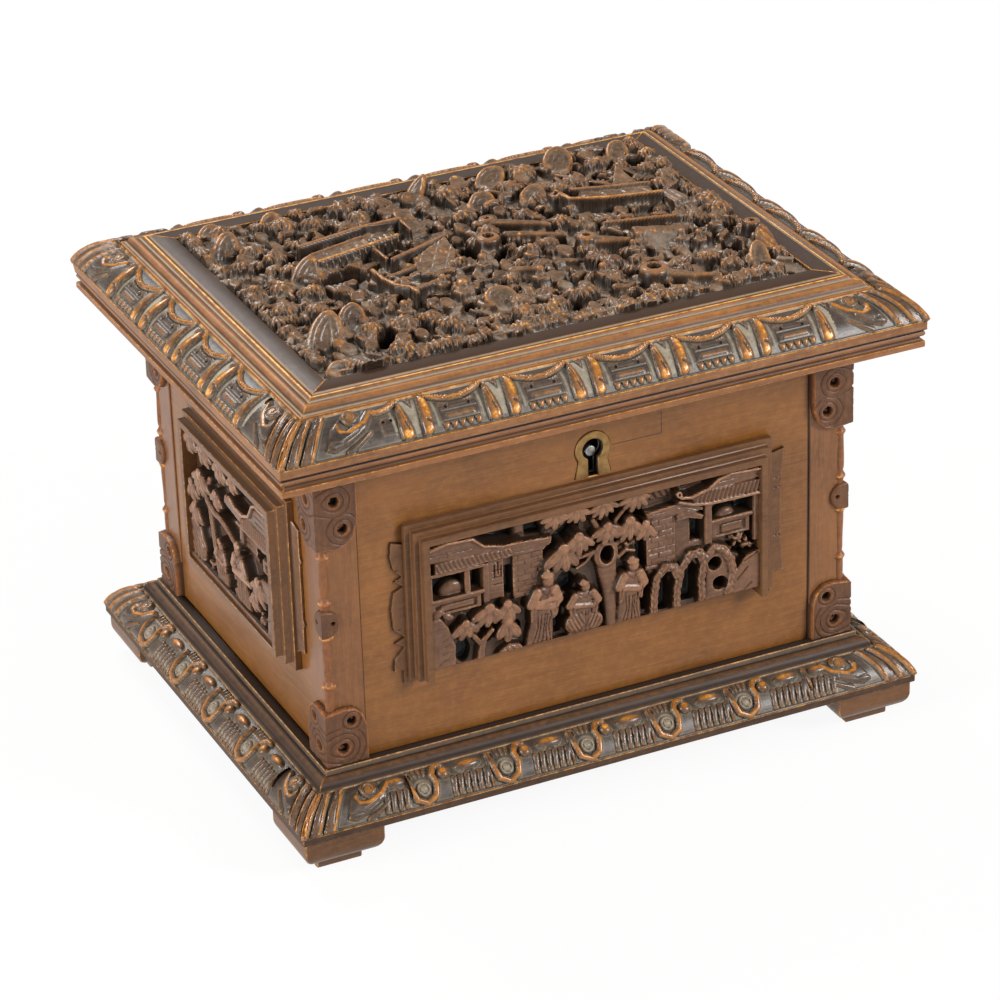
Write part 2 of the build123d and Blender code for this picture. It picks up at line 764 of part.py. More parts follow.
# Carved lid panel: a thick ground with the main masses of a garden town standing on it.
# Each mass is (form, across, back, width, depth, turn, share of the relief): places and sizes are
# shares of the panel's size, and the turn is in degrees.
lid_garden = (
    ("round", -0.449, 0.289, 0.069, 0.232, -15, 0.89),
    ("round", -0.354, 0.029, 0.058, 0.224, -15, 0.89),
    ("round", -0.439, -0.347, 0.079, 0.304, -20, 1.00),
    ("round", -0.359, -0.242, 0.061, 0.152, -12, 0.80),
    ("round", -0.021, 0.405, 0.063, 0.188, -35, 0.92),
    ("block", -0.180, 0.409, 0.058, 0.072, -10, 0.67),
    ("block", -0.203, 0.232, 0.227, 0.029, 13, 0.80),
    ("block", -0.223, 0.139, 0.238, 0.038, 12, 0.84),
    ("block", -0.288, 0.002, 0.127, 0.035, 13.6, 0.70),
    ("block", -0.132, 0.051, 0.164, 0.026, 23, 0.77),
    ("block", -0.159, -0.165, 0.137, 0.026, 16.5, 0.75),
    ("block", -0.098, 0.195, 0.042, 0.246, -12, 0.87),
    ("block", -0.111, -0.029, 0.079, 0.145, 16, 0.63),
    ("round", -0.232, -0.145, 0.026, 0.203, 4, 0.75),
    ("block", -0.288, -0.152, 0.058, 0.094, 22, 0.43),
    ("block", -0.190, -0.239, 0.058, 0.094, 12, 0.43),
    ("round", -0.143, -0.340, 0.079, 0.166, -25, 0.77),
    ("round", -0.122, -0.206, 0.048, 0.065, 0, 0.84),
    ("round", -0.048, -0.116, 0.044, 0.072, -20, 0.89),
    ("block", 0.320, 0.182, 0.169, 0.025, -14, 0.77),
    ("block", 0.309, 0.094, 0.190, 0.029, -15, 0.83),
    ("block", 0.301, 0.040, 0.180, 0.029, -26, 0.55),
    ("block", 0.314, -0.058, 0.153, 0.026, -12.5, 0.72),
    ("block", 0.373, 0.210, 0.042, 0.094, -20, 0.75),
    ("block", 0.416, 0.038, 0.042, 0.137, -10, 0.72),
    ("round", 0.301, 0.420, 0.090, 0.137, -20, 0.89),
    ("round", 0.462, 0.384, 0.079, 0.051, -48, 0.80),
    ("block", 0.293, -0.217, 0.079, 0.224, -20, 0.58),
    ("round", 0.209, -0.118, 0.116, 0.043, -24, 0.80),
    ("round", 0.264, -0.174, 0.038, 0.116, -25, 0.84),
    ("round", 0.351, -0.268, 0.053, 0.109, -25, 0.84),
    ("block", 0.153, -0.289, 0.044, 0.203, -8, 0.75),
    ("round", 0.217, -0.376, 0.063, 0.087, 0, 0.87),
    ("round", 0.291, -0.438, 0.111, 0.036, -33, 0.70),
    ("round", 0.428, -0.362, 0.057, 0.101, -25, 0.80),
    ("block", 0.470, -0.391, 0.048, 0.210, 0, 0.92),
    ("round", 0.481, -0.246, 0.036, 0.049, 0, 0.84),
    ("round", 0.098, 0.014, 0.127, 0.039, -33, 0.72),
    ("round", 0.021, -0.014, 0.049, 0.067, 0, 0.77),
    ("round", 0.016, -0.188, 0.074, 0.036, -5, 0.75),
    ("round", 0.024, -0.289, 0.038, 0.123, 15, 0.77),
    ("round", -0.074, -0.311, 0.074, 0.145, -15, 0.80),
    ("round", 0.085, 0.315, 0.085, 0.087, 10, 0.72),
    ("round", 0.151, 0.434, 0.085, 0.087, 0, 0.77),
    ("round", 0.137, 0.275, 0.095, 0.036, -5, 0.70),
    ("block", 0.090, -0.478, 0.677, 0.041, 0, 0.48),
    ("block", -0.483, 0.036, 0.026, 0.897, 0, 0.36),
    ("block", 0.484, 0.072, 0.026, 0.796, 0, 0.41),
)
lid_ground = lid_board_bottom + lid_board_thickness + lid_carving_ground
with BuildPart() as lid_carving:
    with BuildSketch(Plane.XY.offset(lid_ground)):
        Rectangle(lid_opening_width, lid_opening_depth)
    extrude(amount=-lid_carving_ground)
    for form, across, back, mass_width, mass_depth, turn, share in lid_garden:
        mass = (mass_width * lid_opening_width, mass_depth * lid_opening_depth)
        with BuildSketch(Plane.XY.offset(lid_ground)):
            with Locations((across * lid_opening_width, back * lid_opening_depth)):
                if form == "round":
                    Ellipse(mass[0] / 2, mass[1] / 2, rotation=turn)
                else:
                    Rectangle(*mass, rotation=turn)
        extrude(amount=share * lid_carving_relief)
    with BuildSketch(Plane.XY.offset(lid_ground - lid_carving_ground)):
        Rectangle(lid_opening_width, lid_opening_depth)
    extrude(amount=lid_carving_ground + lid_carving_relief, mode=Mode.INTERSECT)
save(lid_carving, "lid_carving")

# Lining of the lid, inside the ledge
with BuildPart() as lid_lining:
    with BuildSketch(Plane.XY.offset(lid_board_bottom)):
        Rectangle(
            lid_opening_width - 2 * (lid_ledge_width + lining_gap),
            lid_opening_depth - 2 * (lid_ledge_width + lining_gap),
        )
    extrude(amount=-lid_lining_thickness)
save(lid_lining, "lid_lining")

# Padded floor of the well, its upper edges rounded
with BuildPart() as floor_pad:
    with BuildSketch(Plane.XY.offset(base_top)):
        Rectangle(well_width - 2 * lining_gap, well_depth - 2 * lining_gap)
    extrude(amount=floor_pad_thickness)
    fillet(floor_pad.faces().sort_by(Axis.Z)[-1].edges(), radius=floor_pad_round)
save(floor_pad, "floor_pad")

# Wall linings standing on the floor pad; the front one is cut round the lock plate
lining_bottom = base_top + floor_pad_thickness + lining_gap
lining_height = case_top - lining_drop - lining_bottom
for side, wall in walls.items():
    span = wall_spans[side] - 2 * wall_inset - 2 * lining_gap
    if side in ("left", "right"):
        span -= 2 * (lining_thickness + lining_gap)
    with BuildPart() as lining:
        with BuildSketch(wall.offset(-wall_inset)):
            with Locations((0, lining_bottom + lining_height / 2)):
                Rectangle(span, lining_height)
            if side == "front":
                with Locations((lock_x, case_top)):
                    Rectangle(
                        lock_plate_width + 2 * lock_window,
                        2 * (lock_plate_height + lock_window),
                        mode=Mode.SUBTRACT,
                    )
        extrude(amount=-lining_thickness)
    save(lining, f"lining_{side}")

# Butt hinges: leaves let into the rim and the lid, knuckles in the bevelled groove, one pin each
knuckle_length = (hinge_length - 2 * knuckle_gap) / 3
axis_y = half_depth + hinge_out
leaf_depth = hinge_leaf_width - knuckle_room
leaf_middle = axis_y - hinge_leaf_width + leaf_depth / 2
for name, x in hinges.items():
    outer = (hinge_length - knuckle_length) / 2
    for owner, level, places in (
        ("case", case_top - hinge_leaf_thickness, (x - outer, x + outer)),
        ("lid", lid_bottom, (x,)),
    ):
        with BuildPart() as leaf:
            with BuildSketch(Plane.XY.offset(level)):
                with Locations((x, leaf_middle)):
                    Rectangle(hinge_length, leaf_depth)
                with Locations(*[(place, axis_y - knuckle_room / 2) for place in places]):
                    Rectangle(knuckle_length, knuckle_room)
            extrude(amount=hinge_leaf_thickness)
            for place in places:
                with BuildSketch(Plane.YZ.offset(place)):
                    knuckle_section(knuckle_radius)
                extrude(amount=knuckle_length / 2, both=True)
            with BuildSketch(Plane.YZ.offset(x)):
                knuckle_section(hinge_pin_radius + hinge_running)
            extrude(amount=hinge_length, both=True, mode=Mode.SUBTRACT)
            with Locations(*(hinge_case_spots if owner == "case" else hinge_lid_spots)):
                add(screw_hole, mode=Mode.SUBTRACT)
        save(leaf, f"hinge_{name}_{owner}_leaf")
    with BuildPart() as hinge_pin:
        with BuildSketch(Plane.YZ.offset(x)):
            knuckle_section(hinge_pin_radius)
        extrude(amount=hinge_length / 2, both=True)
    save(hinge_pin, f"hinge_{name}_pin")

with BuildPart() as hinge_case_screws:
    with Locations(*hinge_case_spots):
        add(screw)
save(hinge_case_screws, "hinge_case_screws")

with BuildPart() as hinge_lid_screws:
    with Locations(*hinge_lid_spots):
        add(screw)
save(hinge_lid_screws, "hinge_lid_screws")

# Lock plate: upright plate flush with the inside of the front, and the selvedge in its top edge
rest_places = [lock_x + end * (bolt_bar_length / 2 - bolt_rest_width) for end in (-1, 1)]
slot_width = staple_thickness + 2 * staple_slot_play
slot_depth = staple_width + 2 * staple_slot_play
with BuildPart() as lock_plate:
    with BuildSketch(Plane.XY.offset(lock_bottom)):
        with Locations((lock_x, board_inner_y - lock_plate_thickness / 2)):
            Rectangle(lock_plate_width, lock_plate_thickness)
    extrude(amount=lock_plate_height)
    with BuildSketch(Plane.XY.offset(selvedge_bottom)):
        with Locations((lock_x, board_inner_y - selvedge_width / 2)):
            Rectangle(lock_plate_width, selvedge_width)
        with Locations(*[(place, bolt_y) for place in staple_places]):
            Rectangle(slot_width, slot_depth, mode=Mode.SUBTRACT)
    extrude(amount=lock_plate_thickness)
    with BuildSketch(Plane.XY.offset(bolt_bottom - bolt_play)):
        with Locations(*[(place, plate_front_y - bolt_thickness / 2) for place in rest_places]):
            Rectangle(bolt_rest_width, bolt_thickness)
    extrude(amount=-bolt_rest_height)
    with Locations(*lock_screw_spots):
        add(screw_hole, mode=Mode.SUBTRACT)
save(lock_plate, "lock_plate")

# Lock cap: a shallow pan over the works, with its own keyhole
with BuildPart() as lock_cap:
    with BuildSketch(Plane.XY.offset(cap_bottom)):
        with Locations((lock_x, (plate_front_y + cap_front_y) / 2)):
            Rectangle(lock_cap_width, plate_front_y - cap_front_y)
    extrude(amount=selvedge_bottom - cap_bottom)
    with BuildSketch(Plane.XY.offset(cap_bottom + lock_cap_wall)):
        with Locations((lock_x, (plate_front_y + cap_inner_y) / 2)):
            Rectangle(lock_cap_width - 2 * lock_cap_wall, lock_room)
    extrude(amount=selvedge_bottom - cap_bottom, mode=Mode.SUBTRACT)
    with BuildSketch(Plane.XZ.offset(-cap_front_y)):
        keyhole(key_level - key_slot_drop)
    extrude(amount=-lock_cap_wall, mode=Mode.SUBTRACT)
save(lock_cap, "lock_cap")

# Sliding bolt: a bar with a notch for the key and two uprights whose fingers enter the staples
with BuildPart() as lock_bolt:
    with BuildSketch(Plane.XZ.offset(-bolt_y)):
        with Locations((lock_x, bolt_bottom + bolt_bar_height / 2)):
            Rectangle(bolt_bar_length, bolt_bar_height)
        with Locations((lock_x, bolt_bottom + talon_depth / 2)):
            Rectangle(talon_width, talon_depth, mode=Mode.SUBTRACT)
        for step in (0, 1):
            left = lock_x + upright_first + step * staple_pitch
            with Locations((left + upright_width / 2, bolt_top + upright_height / 2)):
                Rectangle(upright_width, upright_height)
    extrude(amount=bolt_thickness / 2, both=True)
    with BuildSketch(Plane.XZ.offset(-bolt_y)):
        for step in (0, 1):
            root = lock_x + upright_first + step * staple_pitch + upright_width
            with Locations((root + finger_length / 2, finger_level)):
                Rectangle(finger_length, finger_height)
    extrude(amount=finger_thickness / 2, both=True)
save(lock_bolt, "lock_bolt")

# Leaf spring on the bolt's bar
spring_start = lock_x + upright_first + upright_width
with BuildPart() as bolt_spring:
    with BuildSketch(Plane.XZ.offset(-bolt_y)):
        with BuildLine():
            heel = (spring_start + spring_foot, bolt_top)
            tip = (spring_start + spring_foot + spring_reach, bolt_top + spring_rise)
            heel_upper = (heel[0], heel[1] + spring_thickness)
            tip_upper = (tip[0], tip[1] + spring_thickness)
            Polyline(heel_upper, (spring_start, heel_upper[1]), (spring_start, bolt_top), heel)
            ThreePointArc(heel, bulge(heel, tip, spring_swell), tip)
            Line(tip, tip_upper)
            ThreePointArc(tip_upper, bulge(heel_upper, tip_upper, spring_swell), heel_upper)
        make_face()
    extrude(amount=spring_width / 2, both=True)
save(bolt_spring, "bolt_spring")

# Drill pin, riveted in the lock plate, its tip just inside the keyhole's mouth
with BuildPart() as drill_pin:
    with BuildSketch(Plane.XZ.offset(-plate_front_y)):
        with Locations((lock_x, pin_level)):
            Circle(drill_pin_radius)
    extrude(amount=plate_front_y - board_face_y - drill_pin_recess)
    chamfer(drill_pin.faces().sort_by(Axis.Y)[0].edges(), length=drill_pin_chamfer)
save(drill_pin, "drill_pin")

with BuildPart() as lock_screws:
    with Locations(*lock_screw_spots):
        add(screw)
save(lock_screws, "lock_screws")

# Escutcheon: a plate with a round head and splayed feet, its slot open at the bottom
with BuildPart() as escutcheon:
    with BuildSketch(walls["front"].offset(-board_setback - escutcheon_let_in)):
        escutcheon_outline()
        keyhole(key_level - key_slot_drop, Mode.SUBTRACT)
    extrude(amount=escutcheon_thickness)
save(escutcheon, "escutcheon")

# Link plate under the lid, with two staples that drop through the selvedge
with BuildPart() as link_plate:
    with BuildSketch(Plane.XY.offset(lid_bottom)):
        with Locations((lock_x + staple_middle, bolt_y)):
            Rectangle(link_plate_length, link_plate_width)
    extrude(amount=link_plate_thickness)
    with BuildSketch(Plane.XY.offset(staple_bottom)):
        with Locations(*[(place, bolt_y) for place in staple_places]):
            Rectangle(staple_thickness, staple_width)
    extrude(amount=lid_bottom - staple_bottom)
    with BuildSketch(Plane.YZ.offset(lock_x)):
        with Locations((bolt_y, finger_level)):
            Rectangle(finger_thickness + 2 * eye_play, finger_height + 2 * eye_play)
    extrude(amount=lock_plate_width, both=True, mode=Mode.SUBTRACT)
    with Locations(*link_spots):
        add(screw_hole, mode=Mode.SUBTRACT)
save(link_plate, "link_plate")

with BuildPart() as link_screws:
    with Locations(*link_spots):
        add(screw)
save(link_screws, "link_screws")
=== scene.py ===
from math import cos, pi, radians, sin

import bmesh
import bpy
import numpy as np
from mathutils import Matrix, Vector


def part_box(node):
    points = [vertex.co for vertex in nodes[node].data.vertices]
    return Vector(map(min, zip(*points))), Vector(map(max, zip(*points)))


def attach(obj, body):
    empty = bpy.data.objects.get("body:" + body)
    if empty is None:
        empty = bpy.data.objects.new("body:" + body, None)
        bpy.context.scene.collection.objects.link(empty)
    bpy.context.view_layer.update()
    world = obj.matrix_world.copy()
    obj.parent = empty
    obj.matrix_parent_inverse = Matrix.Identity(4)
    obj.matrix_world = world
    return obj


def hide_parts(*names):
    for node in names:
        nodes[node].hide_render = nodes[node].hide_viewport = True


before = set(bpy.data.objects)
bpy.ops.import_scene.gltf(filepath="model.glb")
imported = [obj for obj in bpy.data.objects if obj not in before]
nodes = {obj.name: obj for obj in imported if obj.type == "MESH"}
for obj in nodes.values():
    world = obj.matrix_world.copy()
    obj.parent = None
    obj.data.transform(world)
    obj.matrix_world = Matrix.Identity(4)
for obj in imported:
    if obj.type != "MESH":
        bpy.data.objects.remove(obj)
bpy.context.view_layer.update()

# A carved hardwood jewelry casket. Pieces are drawn in millimetres in the CAD frame
# and turned to metres when their mesh is made.
MM = 0.001

# Half the case's width and depth
HALF_WIDE, HALF_DEEP = 103.5, 78.0

# Each side: the way along it seen from outside, the way out, the case face from the middle,
# and half the length of that face.
SIDES = {
    "front": ((1, 0), (0, -1), HALF_DEEP, HALF_WIDE),
    "right": ((0, 1), (1, 0), HALF_WIDE, HALF_DEEP),
    "back": ((-1, 0), (0, 1), HALF_DEEP, HALF_WIDE),
    "left": ((0, -1), (-1, 0), HALF_WIDE, HALF_DEEP),
}


def on_side(side, along, out, up):
    """Points given along a side, out from its case face and up, in the shared frame."""
    (ax, ay), (nx, ny), face, _ = SIDES[side]
    return np.stack([along * ax + (face + out) * nx, along * ay + (face + out) * ny, up + 0 * along], -1)


# --- Finishes ---


def tone(red, green, blue):
    """A colour as it is seen, 0 to 255, in linear light."""
    seen = np.array([red, green, blue]) / 255
    linear = np.where(seen <= 0.04045, seen / 12.92, ((seen + 0.055) / 1.055) ** 2.4)
    return (*[float(v) for v in linear], 1.0)


class Value:
    """A socket of a finish, with the arithmetic that adds its Math nodes."""

    def __init__(self, finish, socket):
        self.finish, self.socket = finish, socket

    def math(self, operation, *others):
        inputs = dict(enumerate((self, *others)))
        return self.finish.add("Math", {"operation": operation}, inputs)

    def __add__(self, other):
        return self.math("ADD", other)

    def __mul__(self, other):
        return self.math("MULTIPLY", other)

    def __sub__(self, other):
        return self.math("SUBTRACT", other)

    def __rsub__(self, other):
        return self.finish.add("Math", {"operation": "SUBTRACT"}, {0: other, 1: self})

    def __abs__(self):
        return self.math("ABSOLUTE")

    __radd__ = __add__
    __rmul__ = __mul__

    def over(self, other):
        return self.math("GREATER_THAN", other)

    def most(self, other):
        return self.math("MAXIMUM", other)

    def least(self, other):
        return self.math("MINIMUM", other)

    def held(self):
        """Kept between 0 and 1."""
        return self.most(0.0).least(1.0)

    def rise(self, low, high):
        """0 below low, 1 above high."""
        return ((self - low) * (1.0 / (high - low))).held()

    def near(self, level, reach):
        """1 at a level, falling to 0 at a reach either side of it."""
        return (1.0 - abs(self - level) * (1.0 / reach)).held()


class Finish:
    """The nodes of one wood, metal or cloth finish, or of the studio's surround."""

    def __init__(self, name, family=bpy.data.materials):
        self.made = family.new(name)
        self.made.use_nodes = True
        self.tree = self.made.node_tree
        self.tree.nodes.clear()

    def add(self, kind, settings=None, inputs=None, output=0):
        node = self.tree.nodes.new("ShaderNode" + kind)
        for key, value in (settings or {}).items():
            setattr(node, key, value)
        for key, value in (inputs or {}).items():
            if isinstance(value, Value):
                self.tree.links.new(value.socket, node.inputs[key])
            else:
                node.inputs[key].default_value = value
        return Value(self, node.outputs[output]) if len(node.outputs) else None

    def mix(self, first, second, share):
        return self.add("Mix", {"data_type": "RGBA"}, {0: share, 6: first, 7: second}, 2)

    def noise(self, where, scale, detail=3.0, roughness=0.55):
        return self.add("TexNoise", {}, {"Vector": where, "Scale": scale, "Detail": detail,
                                         "Roughness": roughness}, 0)

    def mark(self, name):
        return self.add("Attribute", {"attribute_name": name}, {}, 2)

    def places(self):
        """x, y and z on the piece in millimetres."""
        spot = self.add("TexCoord", {}, {}, 3)
        scaled = self.add("VectorMath", {"operation": "SCALE"}, {0: spot, "Scale": 1 / MM})
        return [self.add("SeparateXYZ", {}, {0: scaled}, i) for i in range(3)]

    def join(self, x, y, z):
        return self.add("CombineXYZ", {}, {0: x, 1: y, 2: z})

    def surface(self, colour, roughness, height, bump, depth, **others):
        normal = self.add("Bump", {}, {"Strength": bump, "Distance": depth * MM, "Height": height})
        inputs = {"Base Color": colour, "Roughness": roughness, "Normal": normal}
        inputs.update({key.replace("_", " "): value for key, value in others.items()})
        shader = self.add("BsdfPrincipled", {}, inputs)
        self.add("OutputMaterial", {}, {"Surface": shader})
        return self.made


ORANGE = tone(184, 116, 38)
AMBER = tone(246, 188, 96)
DUST = tone(172, 160, 138)
# Near black: painted shade in the deepest places and in gaps, and the dark of the joints
SHADE_AND_JOINT_BLACK = tone(12, 9, 8)
GRAIN_STRETCH = 0.045
SEAM_BLUR, LINE_BLUR = 0.15, 0.12


def timber(name, *tones, upright=False, polish=0.42, gloss=0.35, dust_and_shade=DUST, dusty=0.8,
           rubbed=ORANGE, bright=AMBER, wearing=0.9, wall_shade=None, hollow=None, grooves=(), crests=(), shaded_seams=(),
           shade=None, lines=(), coat=0.0):
    """Oiled hardwood, its grain along each side, worn bright on its edges, with dust and painted shade in its
    hollows.

    Its three tones are its dark patches, its ground and its light streaks.
    grooves and crests are (distance out from the case face, half width, amount, lowest z, highest z).
    shaded_seams paint shade as dark lines round the box: (lowest z, highest z, least and most distance out,
    amount).
    lines are dark joints: (first x, last x, lowest z, highest z, half width), along the foot and at the last x.
    shade is painted shade on what lies inside a distance out: (that distance, reach, lowest z, highest z, colour).
    wall_shade is painted shade on its carving's sheer sides, which have no coat, and hollow painted shade on its
    lower ground.
    """
    wood = Finish(name)
    x, y, z = wood.places()
    past_x, past_y = abs(x) - HALF_WIDE, abs(y) - HALF_DEEP
    out = past_x.most(past_y)
    on_end = past_x.over(past_y)
    along = x + on_end * (y - x)
    across = y + on_end * (x - y)
    if upright:
        fibre = wood.join(along, across, z * GRAIN_STRETCH)
    else:
        fibre = wood.join(along * GRAIN_STRETCH, across, z)
    place = wood.join(x, y, z)
    figure = wood.noise(fibre, 0.55, 4.0, 0.6)
    streak = wood.noise(fibre, 2.6, 2.0, 0.5)
    patch = wood.noise(place, 0.035, 3.0, 0.6)
    mottle = wood.noise(place, 0.42, 4.0, 0.65)
    fleck = wood.noise(place, 1.5, 3.0, 0.6)
    dark, mid, light = (tone(*each) for each in tones)
    colour = wood.mix(dark, mid, (patch * 0.75 + figure * 0.55).rise(0.40, 0.86))
    colour = wood.mix(colour, light, (streak * 0.5 + mottle * 0.55).rise(0.46, 0.82) * 0.55)
    wall = wood.mark("wall")
    worn = wood.mark("worn") * (mottle * 1.6 + fleck * 0.7 - 0.45).held()
    dust = wood.mark("dust") * (mottle * 1.2 + fleck * 0.6 - 0.1).held()
    deep = wood.mark("deep")

    def within(spot, low, high):
        return spot.over(low) * (1.0 - spot.over(high))

    def between(spot, low, high):
        return (spot.rise(low - SEAM_BLUR, low + SEAM_BLUR)
                * (1.0 - spot.rise(high - SEAM_BLUR, high + SEAM_BLUR)))

    for level, reach, amount, low, high in grooves:
        filled = (out.near(level, reach) * 1.8).held() * within(z, low, high)
        dust = dust.most(filled * (mottle * 1.3 + 0.35).held() * amount)
    for level, reach, amount, low, high in crests:
        handled = (out.near(level, reach) * 1.6).held() * within(z, low, high)
        worn = worn.most(handled * (mottle * 1.8 + figure * 0.7 - 0.6).held() * amount)
    # Painted shade inside a distance out
    if shade:
        level, reach, low, high, darkness = shade
        colour = wood.mix(colour, darkness, (level - out).rise(0.0, reach) * within(z, low, high))
    # Painted shade: the sheer sides of the carving take a dark tone
    if wall_shade:
        colour = wood.mix(colour, wall_shade, wall * (1.0 - fleck * 0.25))
        worn = worn * (1.0 - wall)
        dust = dust * (1.0 - wall * 0.85)
    colour = wood.mix(colour, rubbed, (worn * 1.5).held() * wearing)
    colour = wood.mix(colour, bright, worn.rise(0.62, 1.0) * wearing)
    # The dust mark takes the dust colour: pale dust on some finishes, dark painted shade in grooves and corners on
    # others
    colour = wood.mix(colour, dust_and_shade, dust.held() * dusty)
    # Painted shade: the lower ground darkens with its depth, and the deepest places go black
    if hollow:
        colour = wood.mix(colour, hollow, deep.rise(0.15, 0.6) * (0.7 + mottle * 0.5).held())
    colour = wood.mix(colour, SHADE_AND_JOINT_BLACK, deep.rise(0.62, 0.95))
    # Painted shade: dark lines in the gaps and grooves round the box
    for low, high, near, far, amount in shaded_seams:
        seam_shade = between(z, low, high) * between(out, near, far) * amount
        colour = wood.mix(colour, SHADE_AND_JOINT_BLACK, seam_shade * (0.6 + mottle * 0.7).held())
    for x0, x1, z0, z1, width in lines:
        foot = (abs(z - z0) - width).rise(LINE_BLUR, 0.0) * within(x, x0, x1)
        side = (abs(x - x1) - width).rise(LINE_BLUR, 0.0) * within(z, z0, z1)
        colour = wood.mix(colour, SHADE_AND_JOINT_BLACK, foot.most(side) * 0.85)
    rough = (polish + (mottle - 0.5) * 0.3 + dust * 0.35 + deep * 0.4 - worn * 0.08).held()
    height = streak * 0.5 + figure * 0.4 + mottle * 0.5
    varnish = (1.0 - wall) * coat if wall_shade and coat else coat
    return wood.surface(colour, rough, height, 0.22, 0.3, Specular_IOR_Level=gloss, Coat_Weight=varnish,
                        Coat_Roughness=0.25)


def metal(name, bright, dull, stain, polish):
    """Old metal, rubbed bright on its edges and stained elsewhere."""
    sheet = Finish(name)
    place = sheet.join(*sheet.places())
    cloud = sheet.noise(place, 0.35, 4.0, 0.6)
    speck = sheet.noise(place, 2.4, 3.0, 0.6)
    worn = sheet.mark("worn")
    colour = sheet.mix(dull, bright, (cloud * 0.8 + speck * 0.3).rise(0.42, 0.72).most(worn * 0.8))
    colour = sheet.mix(colour, stain, (speck * 0.7 + cloud * 0.4).rise(0.58, 0.78) * 0.6)
    rough = (polish + (speck - 0.5) * 0.35).held()
    return sheet.surface(colour, rough, cloud * 0.4 + speck, 0.25, 0.1, Metallic=1.0)


def velvet(name, deep, pile):
    """Short-pile lining cloth with brushed patches."""
    cloth = Finish(name)
    place = cloth.join(*cloth.places())
    brushed = cloth.noise(place, 0.06, 3.0, 0.6)
    nap = cloth.noise(place, 3.2, 2.0, 0.7)
    colour = cloth.mix(deep, pile, (brushed * 0.8 + nap * 0.35).rise(0.4, 0.8))
    return cloth.surface(colour, 0.85 + nap * 0.1, nap, 0.4, 0.25, Sheen_Weight=0.12,
                         Sheen_Roughness=0.4, Specular_IOR_Level=0.15)


# The heights of the lid's mouldings, of the plinth and of the plinth's upper part
LID, LOW, UPPER = (164.0, 200.0), (0.0, 40.0), (20.0, 40.0)
# The borders: pale dust, with painted shade on their low ground and round their outlines
border_wood = timber("border_wood", (40, 32, 27), (70, 57, 48), (108, 89, 74), polish=0.3, gloss=0.5,
                     dusty=0.95, wearing=1.0, hollow=tone(20, 15, 12))
# The lid's garden: pale dust, with painted shade on its sheer sides and low ground
lid_carving_wood = timber("lid_carving_wood", (66, 47, 33), (118, 87, 62), (180, 149, 118), polish=0.36, gloss=0.15,
                          dust_and_shade=tone(158, 148, 134), dusty=0.85, rubbed=tone(166, 104, 44), wearing=0.8,
                          wall_shade=tone(15, 10, 8), hollow=tone(16, 12, 9), coat=0.4)
# The wall gardens: a dark dust colour for painted shade in their grooves, painted shade on sheer sides and low
# ground; rubbed and bright tones on the highest forms are wear and a painted highlight
panel_wood = timber("panel_wood", (75, 48, 29), (105, 70, 47), (138, 103, 80), polish=0.38, gloss=0.25,
                    dust_and_shade=tone(36, 25, 16), dusty=0.9, rubbed=tone(158, 112, 80), bright=tone(212, 176, 148),
                    wearing=0.8, wall_shade=tone(24, 16, 10), hollow=tone(34, 24, 13), coat=0.3)
# The post carvings: a dark dust colour, painting shade in their grooves and hollows
scroll_wood = timber("scroll_wood", (67, 43, 29), (96, 63, 42), (127, 89, 62), upright=True, gloss=0.25,
                     dust_and_shade=tone(46, 33, 24), dusty=0.9, rubbed=tone(172, 106, 56), wearing=0.7,
                     wall_shade=tone(52, 36, 25))
# The lid's mouldings: dust in the reeds' grooves and wear on their crests, with painted shade as dark lines between
# the reeds, at the parting line under the lid and on the flat band inside
lid_wood = timber(
    "lid_moulding_wood", (88, 59, 39), (136, 91, 56), (176, 128, 88), polish=0.42, gloss=0.25,
    grooves=[(8.15, 0.5, 1.0, *LID), (5.8, 0.45, 1.0, *LID), (1.45, 0.4, 1.0, *LID), (-1.25, 0.4, 0.6, *LID)],
    crests=[(6.9, 0.5, 0.6, *LID), (3.6, 1.2, 0.35, *LID), (0.0, 0.5, 1.5, *LID), (7.7, 0.25, 1.0, *LID)],
    shaded_seams=[(*LID, 5.1, 5.4, 0.7), (*LID, 2.0, 2.25, 0.6), (*LID, 7.25, 7.4, 0.5), (*LID, -0.9, -0.6, 0.6),
           (158.0, 159.75, 20.6, 23.0, 1.0)],
    shade=(-1.5, 0.4, *LID, tone(64, 45, 32)))
# The plinth: painted shade as dark lines in its moulding's grooves, as a dark band under the board and on its top
# band
plinth_wood = timber(
    "plinth_wood", (46, 33, 26), (70, 51, 39), (104, 77, 57), polish=0.5, gloss=0.22, wearing=0.4,
    grooves=[(8.6, 0.5, 0.3, *UPPER), (4.0, 0.4, 0.15, *LOW)],
    crests=[(6.0, 1.0, 0.25, *UPPER)],
    shaded_seams=[(*UPPER, 7.7, 8.1, 0.6), (*UPPER, 4.4, 4.8, 0.6), (26.0, 40.0, -1.0, 1.2, 0.75)],
    shade=(3.6, 0.5, 32.0, 40.0, tone(46, 35, 28)))
# The rim: painted shade as dark lines at the parting line and in the grooves below it
rim_wood = timber(
    "rim_wood", (96, 62, 38), (138, 90, 54), (164, 116, 78), polish=0.42, gloss=0.3, wearing=0.55,
    shaded_seams=[(158.45, 160.0, 20.4, 23.0, 1.0), (154.9, 156.5, 17.0, 22.0, 0.6), (157.3, 157.6, 19.0, 23.0, 0.5)])
# The boards: black painted shade on faces set back behind the case face between z 114.6 and 136; the lines are dark
# joints
board_wood = timber(
    "board_wood", (100, 61, 24), (127, 79, 32), (155, 105, 53), polish=0.4, gloss=0.2, wearing=0.5, coat=0.45,
    shaded_seams=[(114.6, 136.0, -9.0, -1.1, 1.0)],
    lines=[(9.6, 29.4, 131.6, 140.0, 0.1), (89.1, 89.1, 33.0, 150.0, 0.3), (-89.3, -89.3, 33.0, 150.0, 0.06)])
